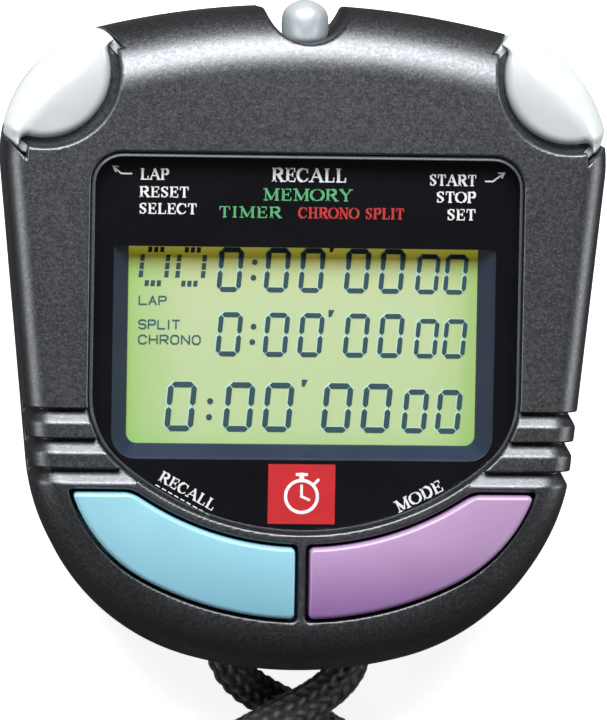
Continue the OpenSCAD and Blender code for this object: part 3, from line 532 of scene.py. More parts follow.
def lcd_material(name):
    """Yellow-green reflective display: greener towards the sides, with a yellow upper edge that is
    painted light: lifted and given a little emission so that the mask's shadow does not darken it."""
    mat, nt, sh = nodes_of(name)
    upwards = along(nt, "Y", -0.0118, 0.0107)
    # the stops from 0.92 up are painted light: a bright yellow band where the mask's shadow falls
    tall = ramp(nt, upwards, [
        (0.0, (0.44, 0.64, 0.28)), (0.1, (0.52, 0.66, 0.35)), (0.7, (0.55, 0.665, 0.38)),
        (0.86, (0.56, 0.66, 0.32)), (0.92, (0.78, 0.76, 0.14)), (0.96, (0.9, 0.85, 0.14)),
        (1.0, (0.9, 0.95, 0.4)),
    ])
    wide = ramp(nt, along(nt, "X", -0.0195, 0.0185), [
        (0.0, (0.62, 0.86, 0.42)), (0.05, (0.80, 0.94, 0.72)), (0.18, (1.0, 1.0, 1.0)),
        (0.88, (1.0, 1.0, 1.0)), (0.96, (0.90, 0.96, 0.80)), (1.0, (0.70, 0.86, 0.55)),
    ])
    nt.links.new(product(nt, tall, wide), sh.inputs["Base Color"])
    # painted light: emission along the upper edge, though the display is no lamp
    painted_glow = ramp(nt, upwards, [
        (0.0, 0), (0.88, 0), (0.94, (0.20, 0.17, 0.01)), (1.0, (0.24, 0.28, 0.08)),
    ])
    nt.links.new(painted_glow, sh.inputs["Emission Color"])
    sh.inputs["Emission Strength"].default_value = 1.0
    sh.inputs["Roughness"].default_value = 0.35
    sh.inputs["Coat Weight"].default_value = 0.2
    return mat


def braid_material(name, dark, light):
    """Woven polyester: fibres along each strand, with painted shade in the hollows between strands
    and a painted highlight on their crowns.
    """
    mat, nt, sh = nodes_of(name)
    uv = nt.nodes.new("ShaderNodeUVMap")
    uv.uv_map = "along"
    fibres = noise(nt, 2.0, 3, 0.7, stretched(nt, uv.outputs["UV"], (0.7, 9.0, 1.0)))
    height = nt.nodes.new("ShaderNodeAttribute")
    height.attribute_name = "height"
    # painted light: much darker in the hollows between strands, painted shade, and lighter on their
    # crowns, a painted highlight
    stops = [(0.3, tint(dark, 0.3)), (0.75, dark), (1.0, light)]
    shade = ramp(nt, height.outputs["Fac"], stops)
    strand = ramp(nt, fibres, [(0.3, 0.5), (0.7, 1.0)])
    nt.links.new(product(nt, shade, strand), sh.inputs["Base Color"])
    sh.inputs["Roughness"].default_value = 0.34
    sh.inputs["Specular IOR Level"].default_value = 0.9
    sh.inputs["Sheen Weight"].default_value = 0.1
    sh.inputs["Sheen Roughness"].default_value = 0.5
    bump(nt, sh, fibres, 0.7, 0.0002)
    return mat


MAT = {
    "front": speckled_case(
        "front_paint", (0.104, 0.110, 0.119), (0.142, 0.148, 0.157), (0.22, 0.222, 0.23),
        (0.36, 0.46),
    ),
    "rear": moulded("rear_plastic", (0.03, 0.03, 0.031), 0.2, (0.5, 0.65), 1600, 0.00004),
    "silver": moulded(
        "button_silver", (0.68, 0.72, 0.73), 0.03, (0.34, 0.46), 2600, 0.000006, 0.3, 0.15
    ),
    "crown": moulded(
        "crown_silver", (0.52, 0.57, 0.60), 0.06, (0.38, 0.46), 2600, 0.000006, 0.5, 0.1
    ),
    "cyan": plastic_with_painted_light("key_cyan", (0.205, 0.44, 0.56), (0.262, 0.53, 0.63), (-0.031, -0.019)),
    "purple": plastic_with_painted_light("key_purple", (0.22, 0.11, 0.31), (0.40, 0.26, 0.44), (-0.031, -0.022)),
    "mask": moulded("mask_black", (0.006, 0.006, 0.008), 0.2, (0.12, 0.2), 500, 0.000002),
    "bezel": moulded("bezel_blue", (0.017, 0.028, 0.060), 0.12, (0.3, 0.4), 1500, 0.000006),
    "lens": lens_material("lens_clear"),
    "lens_edge_highlight": painted_edge_highlight("lens_edge_highlight", (0.11, 0.125, 0.15), 0.5),
    "lcd": lcd_material("display_green"),
    "segment": ink("segment_ink", (0.030, 0.078, 0.100), 0.5),
    "sign_ink": ink("sign_ink", (0.045, 0.13, 0.14), 0.5),
    "segment_painted_rim": ink("segment_painted_rim_ink", (0.52, 0.80, 0.66), 0.5),
    "white_ink": ink("white_ink", (0.86, 0.87, 0.88)),
    "green_ink": ink("green_ink", (0.10, 0.42, 0.17)),
    "red_ink": ink("red_ink", (0.52, 0.035, 0.035)),
    "red_block": ink("red_block_ink", (0.60, 0.022, 0.028)),
    "cord": braid_material("cord_black", (0.014, 0.015, 0.018), (0.15, 0.155, 0.17)),
    "cord_inside": moulded("cord_inside", (0.016, 0.016, 0.018), 0.3, (0.6, 0.8), 1500, 0.0001),
    "rubber": rubber("black_rubber", (0.018, 0.018, 0.018)),
    "silicone": rubber("grey_silicone", (0.38, 0.38, 0.39)),
    "steel": brushed("plated_steel", (0.62, 0.62, 0.64)),
    "spring": brushed("spring_wire", (0.45, 0.45, 0.47), 0.22),
    "brass": brushed("brass_strip", (0.72, 0.52, 0.22), 0.26),
    "cell": brushed("nickel_can", (0.68, 0.68, 0.70), 0.2, (200, 200, 20)),
    "white": moulded("white_moulding", (0.72, 0.72, 0.69), 0.04, (0.45, 0.6), 1400, 0.00001),
    "board": board_material("solder_mask"),
    "chip": moulded("epoxy_black", (0.01, 0.01, 0.011), 0.3, (0.2, 0.4), 700, 0.00002),
    "zebra": rubber("striped_rubber", (0.6, 0.25, 0.22)),
    "reflector": ink("reflector_foil", (0.5, 0.6, 0.25), 0.3),
}


def finish_piece(obj, material, body="case", replaces=()):
    obj.data.materials.clear()
    obj.data.materials.append(MAT[material])
    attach(obj, body)
    if replaces:
        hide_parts(*replaces)
    return obj


# ------------------------------------------------------------------ camera
DISTANCE, FIELD, SENSOR = 0.70, 0.0785, 24.0
LOOK_AT = Vector((0.0, -0.00236, 0.0165))
TILT_X, TILT_Y, ROLL = -0.095, 0.075, rad(-1.0)
cam_data = bpy.data.cameras.new("camera")
cam = bpy.data.objects.new("camera", cam_data)
SCENE.collection.objects.link(cam)
SCENE.camera = cam
back = Vector((TILT_X, TILT_Y, 1.0)).normalized()
cam.location = LOOK_AT + back * DISTANCE
side = Vector((math.sin(ROLL), math.cos(ROLL), 0)).cross(back).normalized()
up = back.cross(side).normalized()
cam.rotation_mode = "QUATERNION"
cam.rotation_quaternion = Matrix((side, up, back)).transposed().to_quaternion()
cam_data.sensor_fit = "VERTICAL"
cam_data.sensor_height, cam_data.sensor_width = SENSOR, 36.0
cam_data.lens = SENSOR * DISTANCE / FIELD
cam_data.clip_start, cam_data.clip_end = 0.01, 10

# ------------------------------------------------------------------ cord
CORD_R = CORD_D / 2
SEEN_RUN = 24.0
STRANDS, STRAND_PITCH, STRAND_DEPTH = 12, 17.0, 0.5
ROUTE_LEFT = [
    (-7.2, -33.5, 5), (-7.1, -35.4, 4.9), (-6.3, -37.6, 4.5), (-4.6, -39.5, 3.7),
    (-2.4, -41, 2.9), (0, -42.3, 2.4), (4, -44.6, 2.3), (9, -47.5, 2.3), (14.75, -50.9, 2.3),
]
ROUTE_RIGHT = [
    (7.2, -33.5, 5), (7.1, -35.4, 5.3), (6.3, -37.6, 5.9), (4.6, -39.5, 6.5),
    (2.4, -41, 6.9), (0, -42.3, 7), (-4, -44.6, 6.4), (-9, -47.5, 6.1), (-14.75, -50.9, 6.6),
]


def smooth(t):
    t = np.clip(t, 0.0, 1.0)
    return t * t * (3 - 2 * t)


def coil_points():
    """The turns: three inwards on the floor, then three outwards on top of them."""
    start, end, n = 60.0, -2040.0, 360
    out = []
    for k in range(n + 1):
        a = start + (end - start) * k / n
        gone = (start - a) / 360
        r, z = COIL_R + CORD_D, CORD_R
        for at, dr, dz in ((1, -1, 0), (2, -1, 0), (3, 0, 1), (4, 1, 0), (5, 1, 0)):
            t = smooth((gone - at + 0.09) / 0.18)
            r += dr * CORD_D * t
            z += dz * CORD_D * t
        out.append((r * math.cos(rad(a)), COIL_Y + r * math.sin(rad(a)), z))
    return out


def run_length(p):
    """How far along a line of points each one lies."""
    return np.concatenate([[0], np.cumsum(np.linalg.norm(np.diff(p, axis=0), axis=1))])


def resample(points, steps):
    """A smooth curve through points, with a point every steps[0] near its two ends, where it
    is seen, and every steps[1] in the stored turns."""
    p = np.array(points, float)
    keys = run_length(p)
    m = np.zeros_like(p)
    m[1:-1] = (p[2:] - p[:-2]) / (keys[2:] - keys[:-2])[:, None]
    m[0] = (p[1] - p[0]) / (keys[1] - keys[0])
    m[-1] = (p[-1] - p[-2]) / (keys[-1] - keys[-2])
    out = []
    for i in range(len(p) - 1):
        span = keys[i + 1] - keys[i]
        n = max(2, int(span / 0.1))
        for k in range(n):
            t = k / n
            h = (2 * t**3 - 3 * t**2 + 1, t**3 - 2 * t**2 + t, -2 * t**3 + 3 * t**2, t**3 - t**2)
            out.append(
                h[0] * p[i] + h[1] * span * m[i] + h[2] * p[i + 1] + h[3] * span * m[i + 1]
            )
    out.append(p[-1])
    p = np.array(out)
    keys = run_length(p)
    total = keys[-1]
    at = np.concatenate([
        np.arange(0, SEEN_RUN, steps[0]), np.arange(SEEN_RUN, total - SEEN_RUN, steps[1]),
        np.arange(total - SEEN_RUN, total - steps[0] / 2, steps[0]), [total],
    ])
    return np.stack([np.interp(at, keys, p[:, i]) for i in range(3)], 1), at


def braid(name, points, steps, sides):
    """A braided cord: two sets of strands wind either way, each over two and under two."""
    p, run = resample(points, steps)
    tangent = np.gradient(p, axis=0)
    tangent /= np.linalg.norm(tangent, axis=1)[:, None]
    across = np.cross(tangent, [0, 0, 1.0])
    across /= np.linalg.norm(across, axis=1)[:, None]
    upward = np.cross(across, tangent)
    theta = np.linspace(0, 2 * np.pi, sides, endpoint=False)
    turn = theta[None, :] / (2 * np.pi) * STRANDS
    wound = run[:, None] / STRAND_PITCH * STRANDS
    a, b = turn + wound, turn - wound
    ia, ib = np.floor(a), np.floor(b)
    fa, fb = a - ia, b - ib
    phase = (ia + ib) % 4
    over = phase < 2
    cross_pos = np.where(over, fa, fb) - 0.5
    long_pos = np.where(over, phase + fb, phase - 2 + fa) / 2
    arch = 0.35 + 0.65 * np.sin(np.pi * long_pos)
    height = np.sqrt(np.maximum(1 - (1.8 * cross_pos) ** 2, 0)) * arch
    r = CORD_R - STRAND_DEPTH + STRAND_DEPTH * height
    round_x = np.cos(theta)[None, :, None] * across[:, None, :]
    round_z = np.sin(theta)[None, :, None] * upward[:, None, :]
    v = (p[:, None, :] + r[:, :, None] * (round_x + round_z)).reshape(-1, 3)
    n = len(p)
    i = np.arange(n - 1)[:, None] * sides
    k = np.arange(sides)[None, :]
    k2 = (k + 1) % sides
    quads = np.stack([i + k, i + k2, i + sides + k2, i + sides + k], -1).reshape(-1, 4)[:, ::-1]
    middle = len(v)
    v = np.vstack([v, p[0], p[-1]])
    faces = [tuple(q) for q in quads.tolist()]
    for j in range(sides):
        faces.append((middle, j, (j + 1) % sides))
        faces.append((middle + 1, (n - 1) * sides + (j + 1) % sides, (n - 1) * sides + j))
    obj = new_piece(name, v, faces)
    mesh = obj.data
    attr = mesh.attributes.new("height", "FLOAT", "POINT")
    attr.data.foreach_set("value", np.append(height.ravel(), [0, 0]).astype(np.float32))
    layer = mesh.uv_layers.new(name="along")
    vert = np.empty(len(mesh.loops), np.int32)
    mesh.loops.foreach_get("vertex_index", vert)
    uv = np.zeros((len(v), 2))
    uv[:-2, 0], uv[:-2, 1] = np.where(over, b, a).ravel(), np.where(over, a, b).ravel()
    layer.data.foreach_set("uv", uv[vert].astype(np.float32).ravel())
    return obj, p


route = ROUTE_LEFT[:-1] + coil_points() + ROUTE_RIGHT[::-1][1:]
cord_steps, cord_sides = (((0.2, 0.42), 64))
cord, cord_path = braid("lanyard_cord", route, cord_steps, cord_sides)
finish_piece(cord, "cord", "case", ("lanyard_left", "lanyard_right", "lanyard_coil"))


# ------------------------------------------------------------------ case
GRID = 0.25
CLEAR = 0.15


def front_rounding(x, y):
    """Wide along the top and the bottom, narrow along the sides."""
    a = np.degrees(np.arctan2(y, np.abs(x)))
    low, high = smooth((a + 48.0) / 24.0), smooth((a - 38.0) / 14.0)
    return ROUND_BOTTOM + (ROUND_SIDE - ROUND_BOTTOM) * low + (ROUND_TOP - ROUND_SIDE) * high


def cavity(x, y, z, low, high):
    plan = np.maximum(CASE(x, y) + WALL_T, y - CAVITY_Y)
    plan = np.maximum(plan, diagonal(np.abs(x), y)[0] - CAVITY_U)
    return np.maximum(plan, between(z, low, high))


def cord_block(x, y, high):
    """The solid end of the case that the cord runs through."""
    return np.maximum(np.maximum(np.abs(x) - BLOCK_X, y - BLOCK_Y), high)


def tunnel(x, y, z):
    """The cord's way through the case: a bend inside and two flared mouths."""
    r = CORD_R + 0.25
    run = np.where(y > BEND_Y, np.hypot(x, y - BEND_Y), np.abs(x)) - CORD_X
    bend = np.hypot(run, z - PARTING_Z) - r
    mouth = np.hypot(np.abs(x) - (CORD_X - 0.75), z - PARTING_Z) - r - 0.9
    return np.minimum(bend, meet(mouth, y - MOUTH_Y, 0.4))


def front_shape(x, y, z):
    body = meet(CASE(x, y), z - FRONT_Z, front_rounding(x, y))
    # finger grooves, each a ramp up to a step
    for k in range(3):
        top = GROOVE_Y - k * GROOVE_PITCH
        slope = body * GROOVE_W + (y - top + GROOVE_W) * GROOVE_D
        slope = np.maximum(-slope / math.hypot(GROOVE_W, GROOVE_D), y - top)
        ends = np.maximum(GROOVE_X - np.abs(x), GROOVE_Z - z)
        body = cut(body, np.maximum(slope, ends), 0.12)
    f = meet(body, PARTING_Z - z, 0.2)
    solid_end = cord_block(x, y, z - BLOCK_Z)
    f = cut(f, np.maximum(cavity(x, y, z, PARTING_Z - 2, CAVITY_Z), -solid_end))
    # window with a raised lip, display seat and key opening
    f = cut(f, np.maximum(WINDOW(x, y), LEDGE_Z - z), 0.22)
    seat = np.maximum(np.abs(y) - SEAT_Y, between(z, SEAT_Z, SEAT_Z + 4))
    f = cut(f, np.maximum(np.abs(x) - SEAT_X, seat))
    f = cut(f, np.maximum(key_plan(x, y, KEY_GAP, 0.5), SEAT_Z - z), 0.28)
    # corner buttons: pocket, wing seat, collar slot, opening below and spring bore
    u, v = diagonal(np.abs(x), y)
    away = np.hypot(u - DOME_U, v)
    band = np.abs(v) - SLOT_V
    f = cut(f, np.maximum(away - POCKET_R, POCKET_Z - z), 0.3)
    ring = np.hypot(np.abs(x) - SHOULDER_C[0], y - SHOULDER_C[1])
    wing_seat = np.maximum(POCKET_Z - z, WING_IN - TRAVEL - 0.2 - ring)
    f = cut(f, np.maximum(band, wing_seat), 0.15)
    collar = np.maximum(away - COLLAR_R - COLLAR_GAP, band)
    f = cut(f, np.maximum(collar, between(z, *COLLAR_SLOT)))
    f = cut(f, np.maximum(band, np.maximum(z - POCKET_Z, SLOT_U - u)), 0.1)
    bore = np.hypot(v, z - STEM_Z)
    f = cut(f, np.maximum(bore - WELL_R, SPRING_U - u))
    f = cut(f, np.maximum(bore - STEM_R - 0.05, 25 - u))
    # crown button
    f = cut(f, np.hypot(x, y - CROWN_TIP) - SCOOP_R, 0.35)
    bore = np.hypot(x, z - STEM_Z)
    f = cut(f, np.maximum(bore - CROWN_R - CLEAR, SPRING_Y - y), 0.1)
    f = cut(f, np.maximum(bore - STEM_R - 0.05, 26 - y))
    return cut(f, tunnel(x, y, z), 0.1)


def hatch_lugs(x, y, half_turn, reach, middle=0.0):
    """Three lugs spread evenly round the cell."""
    away = np.hypot(x, y - CELL_Y)
    turn = np.degrees(np.arctan2(y - CELL_Y, x)) - middle
    off = np.abs((turn + 60) % 120 - 60) - half_turn
    return np.maximum(away - reach, np.sin(np.radians(np.clip(off, -80, 80))) * away)


def rear_shape(x, y, z):
    body = meet(CASE(x, y), -z, ROUND_REAR)
    f = meet(body, z - PARTING_Z, 0.2)
    inside = np.maximum(cavity(x, y, z, FLOOR_T, PARTING_Z + 2), -cord_block(x, y, -1.0))
    f = cut(f, inside)
    f = cut(f, np.hypot(x, y - CELL_Y) - HATCH_R - CLEAR, 0.25)
    f = cut(f, hatch_lugs(x, y, 17, LUG_R + CLEAR, 50), 0.1)
    for px, py in SCREWS:
        r = np.hypot(np.abs(x) - px, y - py)
        f = cut(f, meet(r - SCREW_HEAD_R, z - 1.8), 0.2)
        f = cut(f, r - SCREW_R)
    f = cut(f, np.hypot(x, y - CROWN_TIP) - SCOOP_R, 0.25)
    # two shallow grooves for the palm, below the hatch
    for low, high in ((-26.5, -24.9), (-23.5, -21.9)):
        groove = np.maximum(np.maximum(np.abs(x) - 12, between(y, low, high)), z - 0.35)
        f = cut(f, groove, 0.15)
    return cut(f, tunnel(x, y, z), 0.1)


for name, shape, low, high in (("front", front_shape, 4.9, 19.1), ("rear", rear_shape, -0.1, 5.1)):
    corners = (-33.2, -36.9, low), (33.2, 36.2, high)
    shell = surface(name + "_shell", shape, *corners, GRID)
    finish_piece(shell, name, "case", (name + "_case",))


# ------------------------------------------------------------------ buttons and keys
CAP_LOW, CAP_U, SKIRT_TOP, DOME_RING_R = 12.8, 32.4, 14.0, 14.9
STEM_END_U, WELL_END_U = 37, 33.9


def corner_cap_shape(sign):
    """A silver wing that follows the shoulder, with a dome on it and a skirt inside."""
    def shape(x, y, z):
        x = sign * x
        u, v = diagonal(x, y)
        away = np.hypot(u - DOME_U, v)
        ring = np.hypot(x - SHOULDER_C[0], y - SHOULDER_C[1])
        wing = meet(meet(ring - SHOULDER_R, z - WING_Z, 4.0), WING_LOW - z, 1.5)
        wing = meet(wing, WING_IN - ring, 0.25)
        inner = ring - WING_IN - 0.5
        skirt = np.maximum(inner, between(z, WING_LOW, SKIRT_TOP))
        collar = meet(away - COLLAR_R, between(z, *COLLAR_Z), 0.15)
        collar = np.maximum(collar, np.maximum(inner, COLLAR_V - np.abs(v)))
        skirt = np.minimum(skirt, collar)
        crest = DOME_Z - 0.9 * (away / DOME_R) ** 2
        dome = meet(away - DOME_R, z - crest, 0.9)
        dome = meet(dome, meet(ring - DOME_RING_R, z - DOME_Z, 4.5), 0.3)
        dome = np.maximum(dome, CAP_LOW - z)
        f = join(join(wing, dome, 1.0), skirt)
        f = meet(f, np.abs(v) - CAP_W / 2, 0.35)
        f = np.maximum(f, CAP_U - u)
        bore = np.hypot(v, z - STEM_Z)
        f = cut(f, np.maximum(bore - STEM_R, u - STEM_END_U))
        return cut(f, np.maximum(bore - WELL_R, u - WELL_END_U))
    return shape


def corner_collar_shape(sign):
    """The dark collar round the foot of the dome, which slides in under the case's lip."""
    def shape(x, y, z):
        u, v = diagonal(sign * x, y)
        away = np.hypot(u - DOME_U, v)
        collar = meet(away - COLLAR_R, between(z, *COLLAR_Z), 0.15)
        hole = np.maximum(DOME_R - 0.1 - away, np.abs(v) - COLLAR_V + 0.02)
        return np.maximum(np.maximum(collar, hole), u - DOME_U)
    return shape


def one_side(sign, x, y, z):
    """Lower and upper corner of a box on the right (sign 1) or its mirror image (sign -1)."""
    x0, x1 = sorted(sign * v for v in x)
    return (x0, y[0], z[0]), (x1, y[1], z[1])


for sign, side in ((1, "start"), (-1, "lap")):
    body, corners = side + "_button", one_side(sign, (18.0, 33.3), (18.0, 34.2), (5.3, 18.3))
    cap = surface(side + "_cap", corner_cap_shape(sign), *corners, GRID * 0.72)
    finish_piece(cap, "silver", body, (body,))
    collar = surface(side + "_collar", corner_collar_shape(sign), *corners, GRID * 0.8)
    finish_piece(collar, "front", body, ())


CROWN_LOW, CROWN_WELL_Y, CROWN_STEM_Y = 30.9, 33, 35


def crown_shape(x, y, z):
    bore = np.hypot(x, z - STEM_Z)
    ball = np.hypot(bore, y - CROWN_TIP + CROWN_BALL_R) - CROWN_BALL_R
    f = meet(meet(bore - CROWN_R, ball, 0.35), CROWN_LOW - y, 0.2)
    f = cut(f, np.maximum(bore - 2, y - CROWN_WELL_Y))
    return cut(f, np.maximum(bore - STEM_R, y - CROWN_STEM_Y))


crown = surface("crown_cap", crown_shape, (-2.7, 30.8, 8.7), (2.7, 36.9, 14.1), GRID * 0.5)
finish_piece(crown, "crown", "crown_button", ("crown_button",))


KEY_LOW, FLANGE_Z, FLANGE_GROW = 13.6, 14.5, 0.6
KEY_MID_R, KEY_HALF, KEY_CROWN = 36.2, 3.9, 0.3
PLUNGER_R, PLUNGER_Z = 2.2, (12.6, 14.1)


def key_shape(sign):
    """A curved key with a flange below the case's face and a plunger over its dome."""
    def shape(x, y, z):
        plan = key_plan(x, y, 0.0, 0.55)
        off = (np.hypot(x, y - WINDOW_C[1]) - KEY_MID_R) / KEY_HALF
        crest = KEY_Z - KEY_CROWN * off**2
        top = meet(plan, z - crest, 0.45)
        flange = np.maximum(key_plan(x, y, FLANGE_GROW), z - FLANGE_Z)
        f = np.maximum(np.minimum(top, flange), KEY_LOW - z)
        away = np.hypot(np.abs(x) - PLUNGER_X, y - PLUNGER_Y)
        plunger = np.maximum(away - PLUNGER_R, between(z, *PLUNGER_Z))
        return np.maximum(np.minimum(f, plunger), -sign * x)
    return shape


for sign, side, colour in ((-1, "recall", "cyan"), (1, "mode", "purple")):
    body, corners = side + "_key", one_side(sign, (0.2, 26.6), (-31.2, -15.9), (12.5, 20.0))
    key = surface(side + "_cap", key_shape(sign), *corners, GRID * 0.8)
    finish_piece(key, colour, body, (body,))


# ------------------------------------------------------------------ window
LENS_Z, LENS_EDGE_R, LENS_INSET = (16.83, 18.8), 0.35, 0.15
LOOP_STEP = 0.8


def lens_shape(x, y, z):
    return meet(WINDOW(x, y) + LENS_INSET, between(z, *LENS_Z), LENS_EDGE_R)


lens = surface("lens", lens_shape, (-23.7, -21.4, 16.7), (23.7, 20.3, 18.9), GRID * 1.4)
finish_piece(lens, "lens", "case", ("window_lens",))


def moved_in(outline, d):
    """A window outline moved further in by d, point for point."""
    p, h = np.array(outline), 1e-3
    out = np.stack([
        WINDOW(p[:, 0] + h, p[:, 1]) - WINDOW(p[:, 0] - h, p[:, 1]),
        WINDOW(p[:, 0], p[:, 1] + h) - WINDOW(p[:, 0], p[:, 1] - h),
    ], 1)
    return p - d * out / np.linalg.norm(out, axis=1)[:, None]


# the lens's rounded edge, with a painted highlight: a grey skin 0.01 thick that starts 0.002 off
# the lens
rim = WINDOW.loop(LENS_INSET, LOOP_STEP)
skin = [(LENS_EDGE_R + 0.012, t) for t in range(0, 91, 15)]
skin += [(LENS_EDGE_R + 0.002, t) for t in range(90, -1, -15)]
loops = []
for r, t in skin:
    z = LENS_Z[1] - LENS_EDGE_R + r * math.sin(rad(t))
    loops.append([(x, y, z) for x, y in moved_in(rim, LENS_EDGE_R - r * math.cos(rad(t)))])
bevel = face_outwards(new_piece("lens_bevel", *strip(loops + loops[:1], cap=False)), merge=True)
finish_piece(bevel, "lens_edge_highlight", "case", ())


def ring_plate(name, outer, inner, low, high):
    """A flat plate with one opening: both outlines are lists of points."""
    bm = bmesh.new()
    rings = []
    for z in (low, high):
        pair, edges = [], []
        for loop in (outer, inner):
            vs = [bm.verts.new((x * MM, y * MM, z * MM)) for x, y in loop]
            edges += [bm.edges.new((vs[i], vs[(i + 1) % len(vs)])) for i in range(len(vs))]
            pair.append(vs)
        bmesh.ops.triangle_fill(bm, use_beauty=True, use_dissolve=False, edges=edges)
        rings.append(pair)
    for a, b in zip(*rings):
        for i in range(len(a)):
            j = (i + 1) % len(a)
            bm.faces.new((a[i], a[j], b[j], b[i]))
    bmesh.ops.recalc_face_normals(bm, faces=bm.faces)
    mesh = bpy.data.meshes.new(name)
    bm.to_mesh(mesh)
    bm.free()
    obj = bpy.data.objects.new(name, mesh)
    SCENE.collection.objects.link(obj)
    return obj


opening = rounded_rectangle((-20.9, 20.9), (-13.3, 9.9), (2.6, 0.3))
mask = ring_plate("printed_mask", WINDOW.loop(0.2, LOOP_STEP), opening, *MASK_Z)
finish_piece(mask, "mask", "case", ("window_mask",))

# bezel: a sloping frame from the mask's opening down to the glass, as half width, lower and
# upper end, corner radii (lower, upper) and height
bezel_loops = []
for half, low, high, radii, z in (
    (22, -14.2, 14.2, (1, 1), 16.58), (20.9, -13.3, 11.9, (2.6, 0.8), 16.58),
    (20.55, -13.05, 11.75, (2.4, 0.8), 16.2), (19.25, -11.85, 10.85, (1.3, 0.6), 14.9),
    (19.1, -11.7, 10.7, (1.1, 0.5), LCD_Z), (22, -14.2, 14.2, (1, 1), LCD_Z),
):
    outline = rounded_rectangle((-half, half), (low, high), radii)
    bezel_loops.append([(x, y, z) for x, y in outline])
verts, faces = strip(bezel_loops + bezel_loops[:1], cap=False)
kept = len(verts) - len(bezel_loops[0])
faces = [tuple(i % kept for i in f) for f in faces]
bezel = face_outwards(new_piece("display_bezel", verts[:kept], faces, smooth=False))
bevelled(bezel, 0.12, 2, 25)
finish_piece(bezel, "bezel", "case", ("lcd_bezel",))


# ------------------------------------------------------------------ flat marks
def flat_shapes(name, polygons, low, high):
    """Thin raised shapes, one for each list of points, at heights a hair apart."""
    verts, faces = [], []
    for at, poly in enumerate(polygons):
        n, k = len(poly), len(verts)
        lift = 0.0015 * (at % 7)
        verts += [(x, y, low - lift) for x, y in poly] + [(x, y, high + lift) for x, y in poly]
        faces.append(tuple(range(k + n, k + 2 * n)))
        faces.append(tuple(reversed(range(k, k + n))))
        for i in range(n):
            j = (i + 1) % n
            faces.append((k + i, k + j, k + n + j, k + n + i))
    return face_outwards(new_piece(name, verts, faces, smooth=False))


def stroke(a, b, longer, half):
    """A straight stroke from a to b: longer at both ends, half to each side."""
    a, b = a - longer, b + longer
    return [tuple(v) for v in (a - half, b - half, b + half, a + half)]


def square_to(d):
    return np.array([-d[1], d[0]])


def line(points, w):
    out = []
    for p, q in zip(points, points[1:]):
        a, b = np.array(p, float), np.array(q, float)
        d = unit(b - a) * w / 2
        out.append(stroke(a, b, d, square_to(d)))
    return out


def point(text):
    """A point of a letter's box, written in hundredths of its width and height."""
    x, y = text.split(",")
    return int(x) / 100, int(y) / 100


# ------------------------------------------------------------------ display
SLANT = math.tan(rad(5))
LCD_X = -0.08


def bar(a, b, w, gap):
    """A display segment from a to b: ends cut to a blunt point."""
    a, b = np.array(a, float), np.array(b, float)
    d = unit(b - a)
    s = square_to(d) * w / 2
    a, b = a + d * gap, b - d * gap
    m = d * w / 2
    return [tuple(q) for q in (a, a + m + s, b - m + s, b, b - m - s, a + m - s)]


def digit(x, y, w, tall, t=0.52):
    """A seven-segment nought in the box at (x, y), lower left, w wide and tall high."""
    def at(px, py):
        return (x + px + py * SLANT - tall * SLANT * 0.5, y + py)
    h, i = tall / 2, t / 2
    spans = (
        ((i, tall - i), (w - i, tall - i)), ((w - i, h), (w - i, tall - i)),
        ((w - i, i), (w - i, h)), ((i, i), (w - i, i)), ((i, i), (i, h)), ((i, h), (i, tall - i)),
    )
    return [bar(at(*p), at(*q), t, 0.07) for p, q in spans]


def broken_nought(x, y, w, tall):
    """The coarse display's nought, made of small blocks, three on each side and each end."""
    def block(cx, cy, bw, bh):
        lean = (cy - tall / 2) * SLANT
        left, right, low, high = cx - bw / 2, cx + bw / 2, cy - bh / 2, cy + bh / 2
        corners = ((left, low), (right, low), (right, high), (left, high))
        return [(x + px + lean + (py - cy) * SLANT, y + py) for px, py in corners]

    out = []
    for k in (-1, 0, 1):
        out += [block(cx, tall / 2 + 0.06 + k * 0.88, 0.46, 0.7) for cx in (0.28, w - 0.28)]
        out += [block(w / 2 + k * 0.66, cy, 0.44, 0.6) for cy in (0.3, tall - 0.3)]
    return out


def dot(x, y, across=0.62):
    turns = [rad(k * 22.5) for k in range(16)]
    return [(x + across / 2 * math.cos(t), y + across / 2 * math.sin(t)) for t in turns]


def prime(x, y):
    return [(x - 0.03, y + 0.53), (x + 0.27, y + 0.53), (x + 0.6, y + 1.25), (x - 0.04, y + 1.25)]


def digit_row(wide, narrow, low, tall):
    """Full digits, then lower ones: each group is (left ends, width, height less, thickness)."""
    out = []
    for xs, w, less, t in (wide, narrow):
        for x in xs:
            out += digit(x + LCD_X, low, w, tall - less, t)
    return out


segments = []
for top, low in ((9.7, 4.9), (2.66, -2.15)):
    wide = (-9.25, -4.1, -0.3, 4.7, 8.5), 2.65, 0, 0.52
    segments += digit_row(wide, ((12.5, 15.6), 2.5, 0.5, 0.48), low, top - low)
    segments += [dot(-5.28 + LCD_X, top - 1.55), dot(-5.39 + LCD_X, top - 3.24)]
    segments.append(prime(2.95 + LCD_X, top - 0.9))
for x in (-17.9, -13.9):
    segments += broken_nought(x + LCD_X, 5.45, 3.35, 4.26)
wide = (-14.7, -8.3, -4.0, 2.46, 6.8), 3.15, 0, 0.6
segments += digit_row(wide, ((11.3, 15.0), 2.7, 0.6, 0.55), -10.4, 5.4)
segments += [dot(-9.9 + LCD_X, -7.1, 0.66), dot(-10.0 + LCD_X, -8.85, 0.66)]
segments.append(prime(0.15 + LCD_X, -5.9))

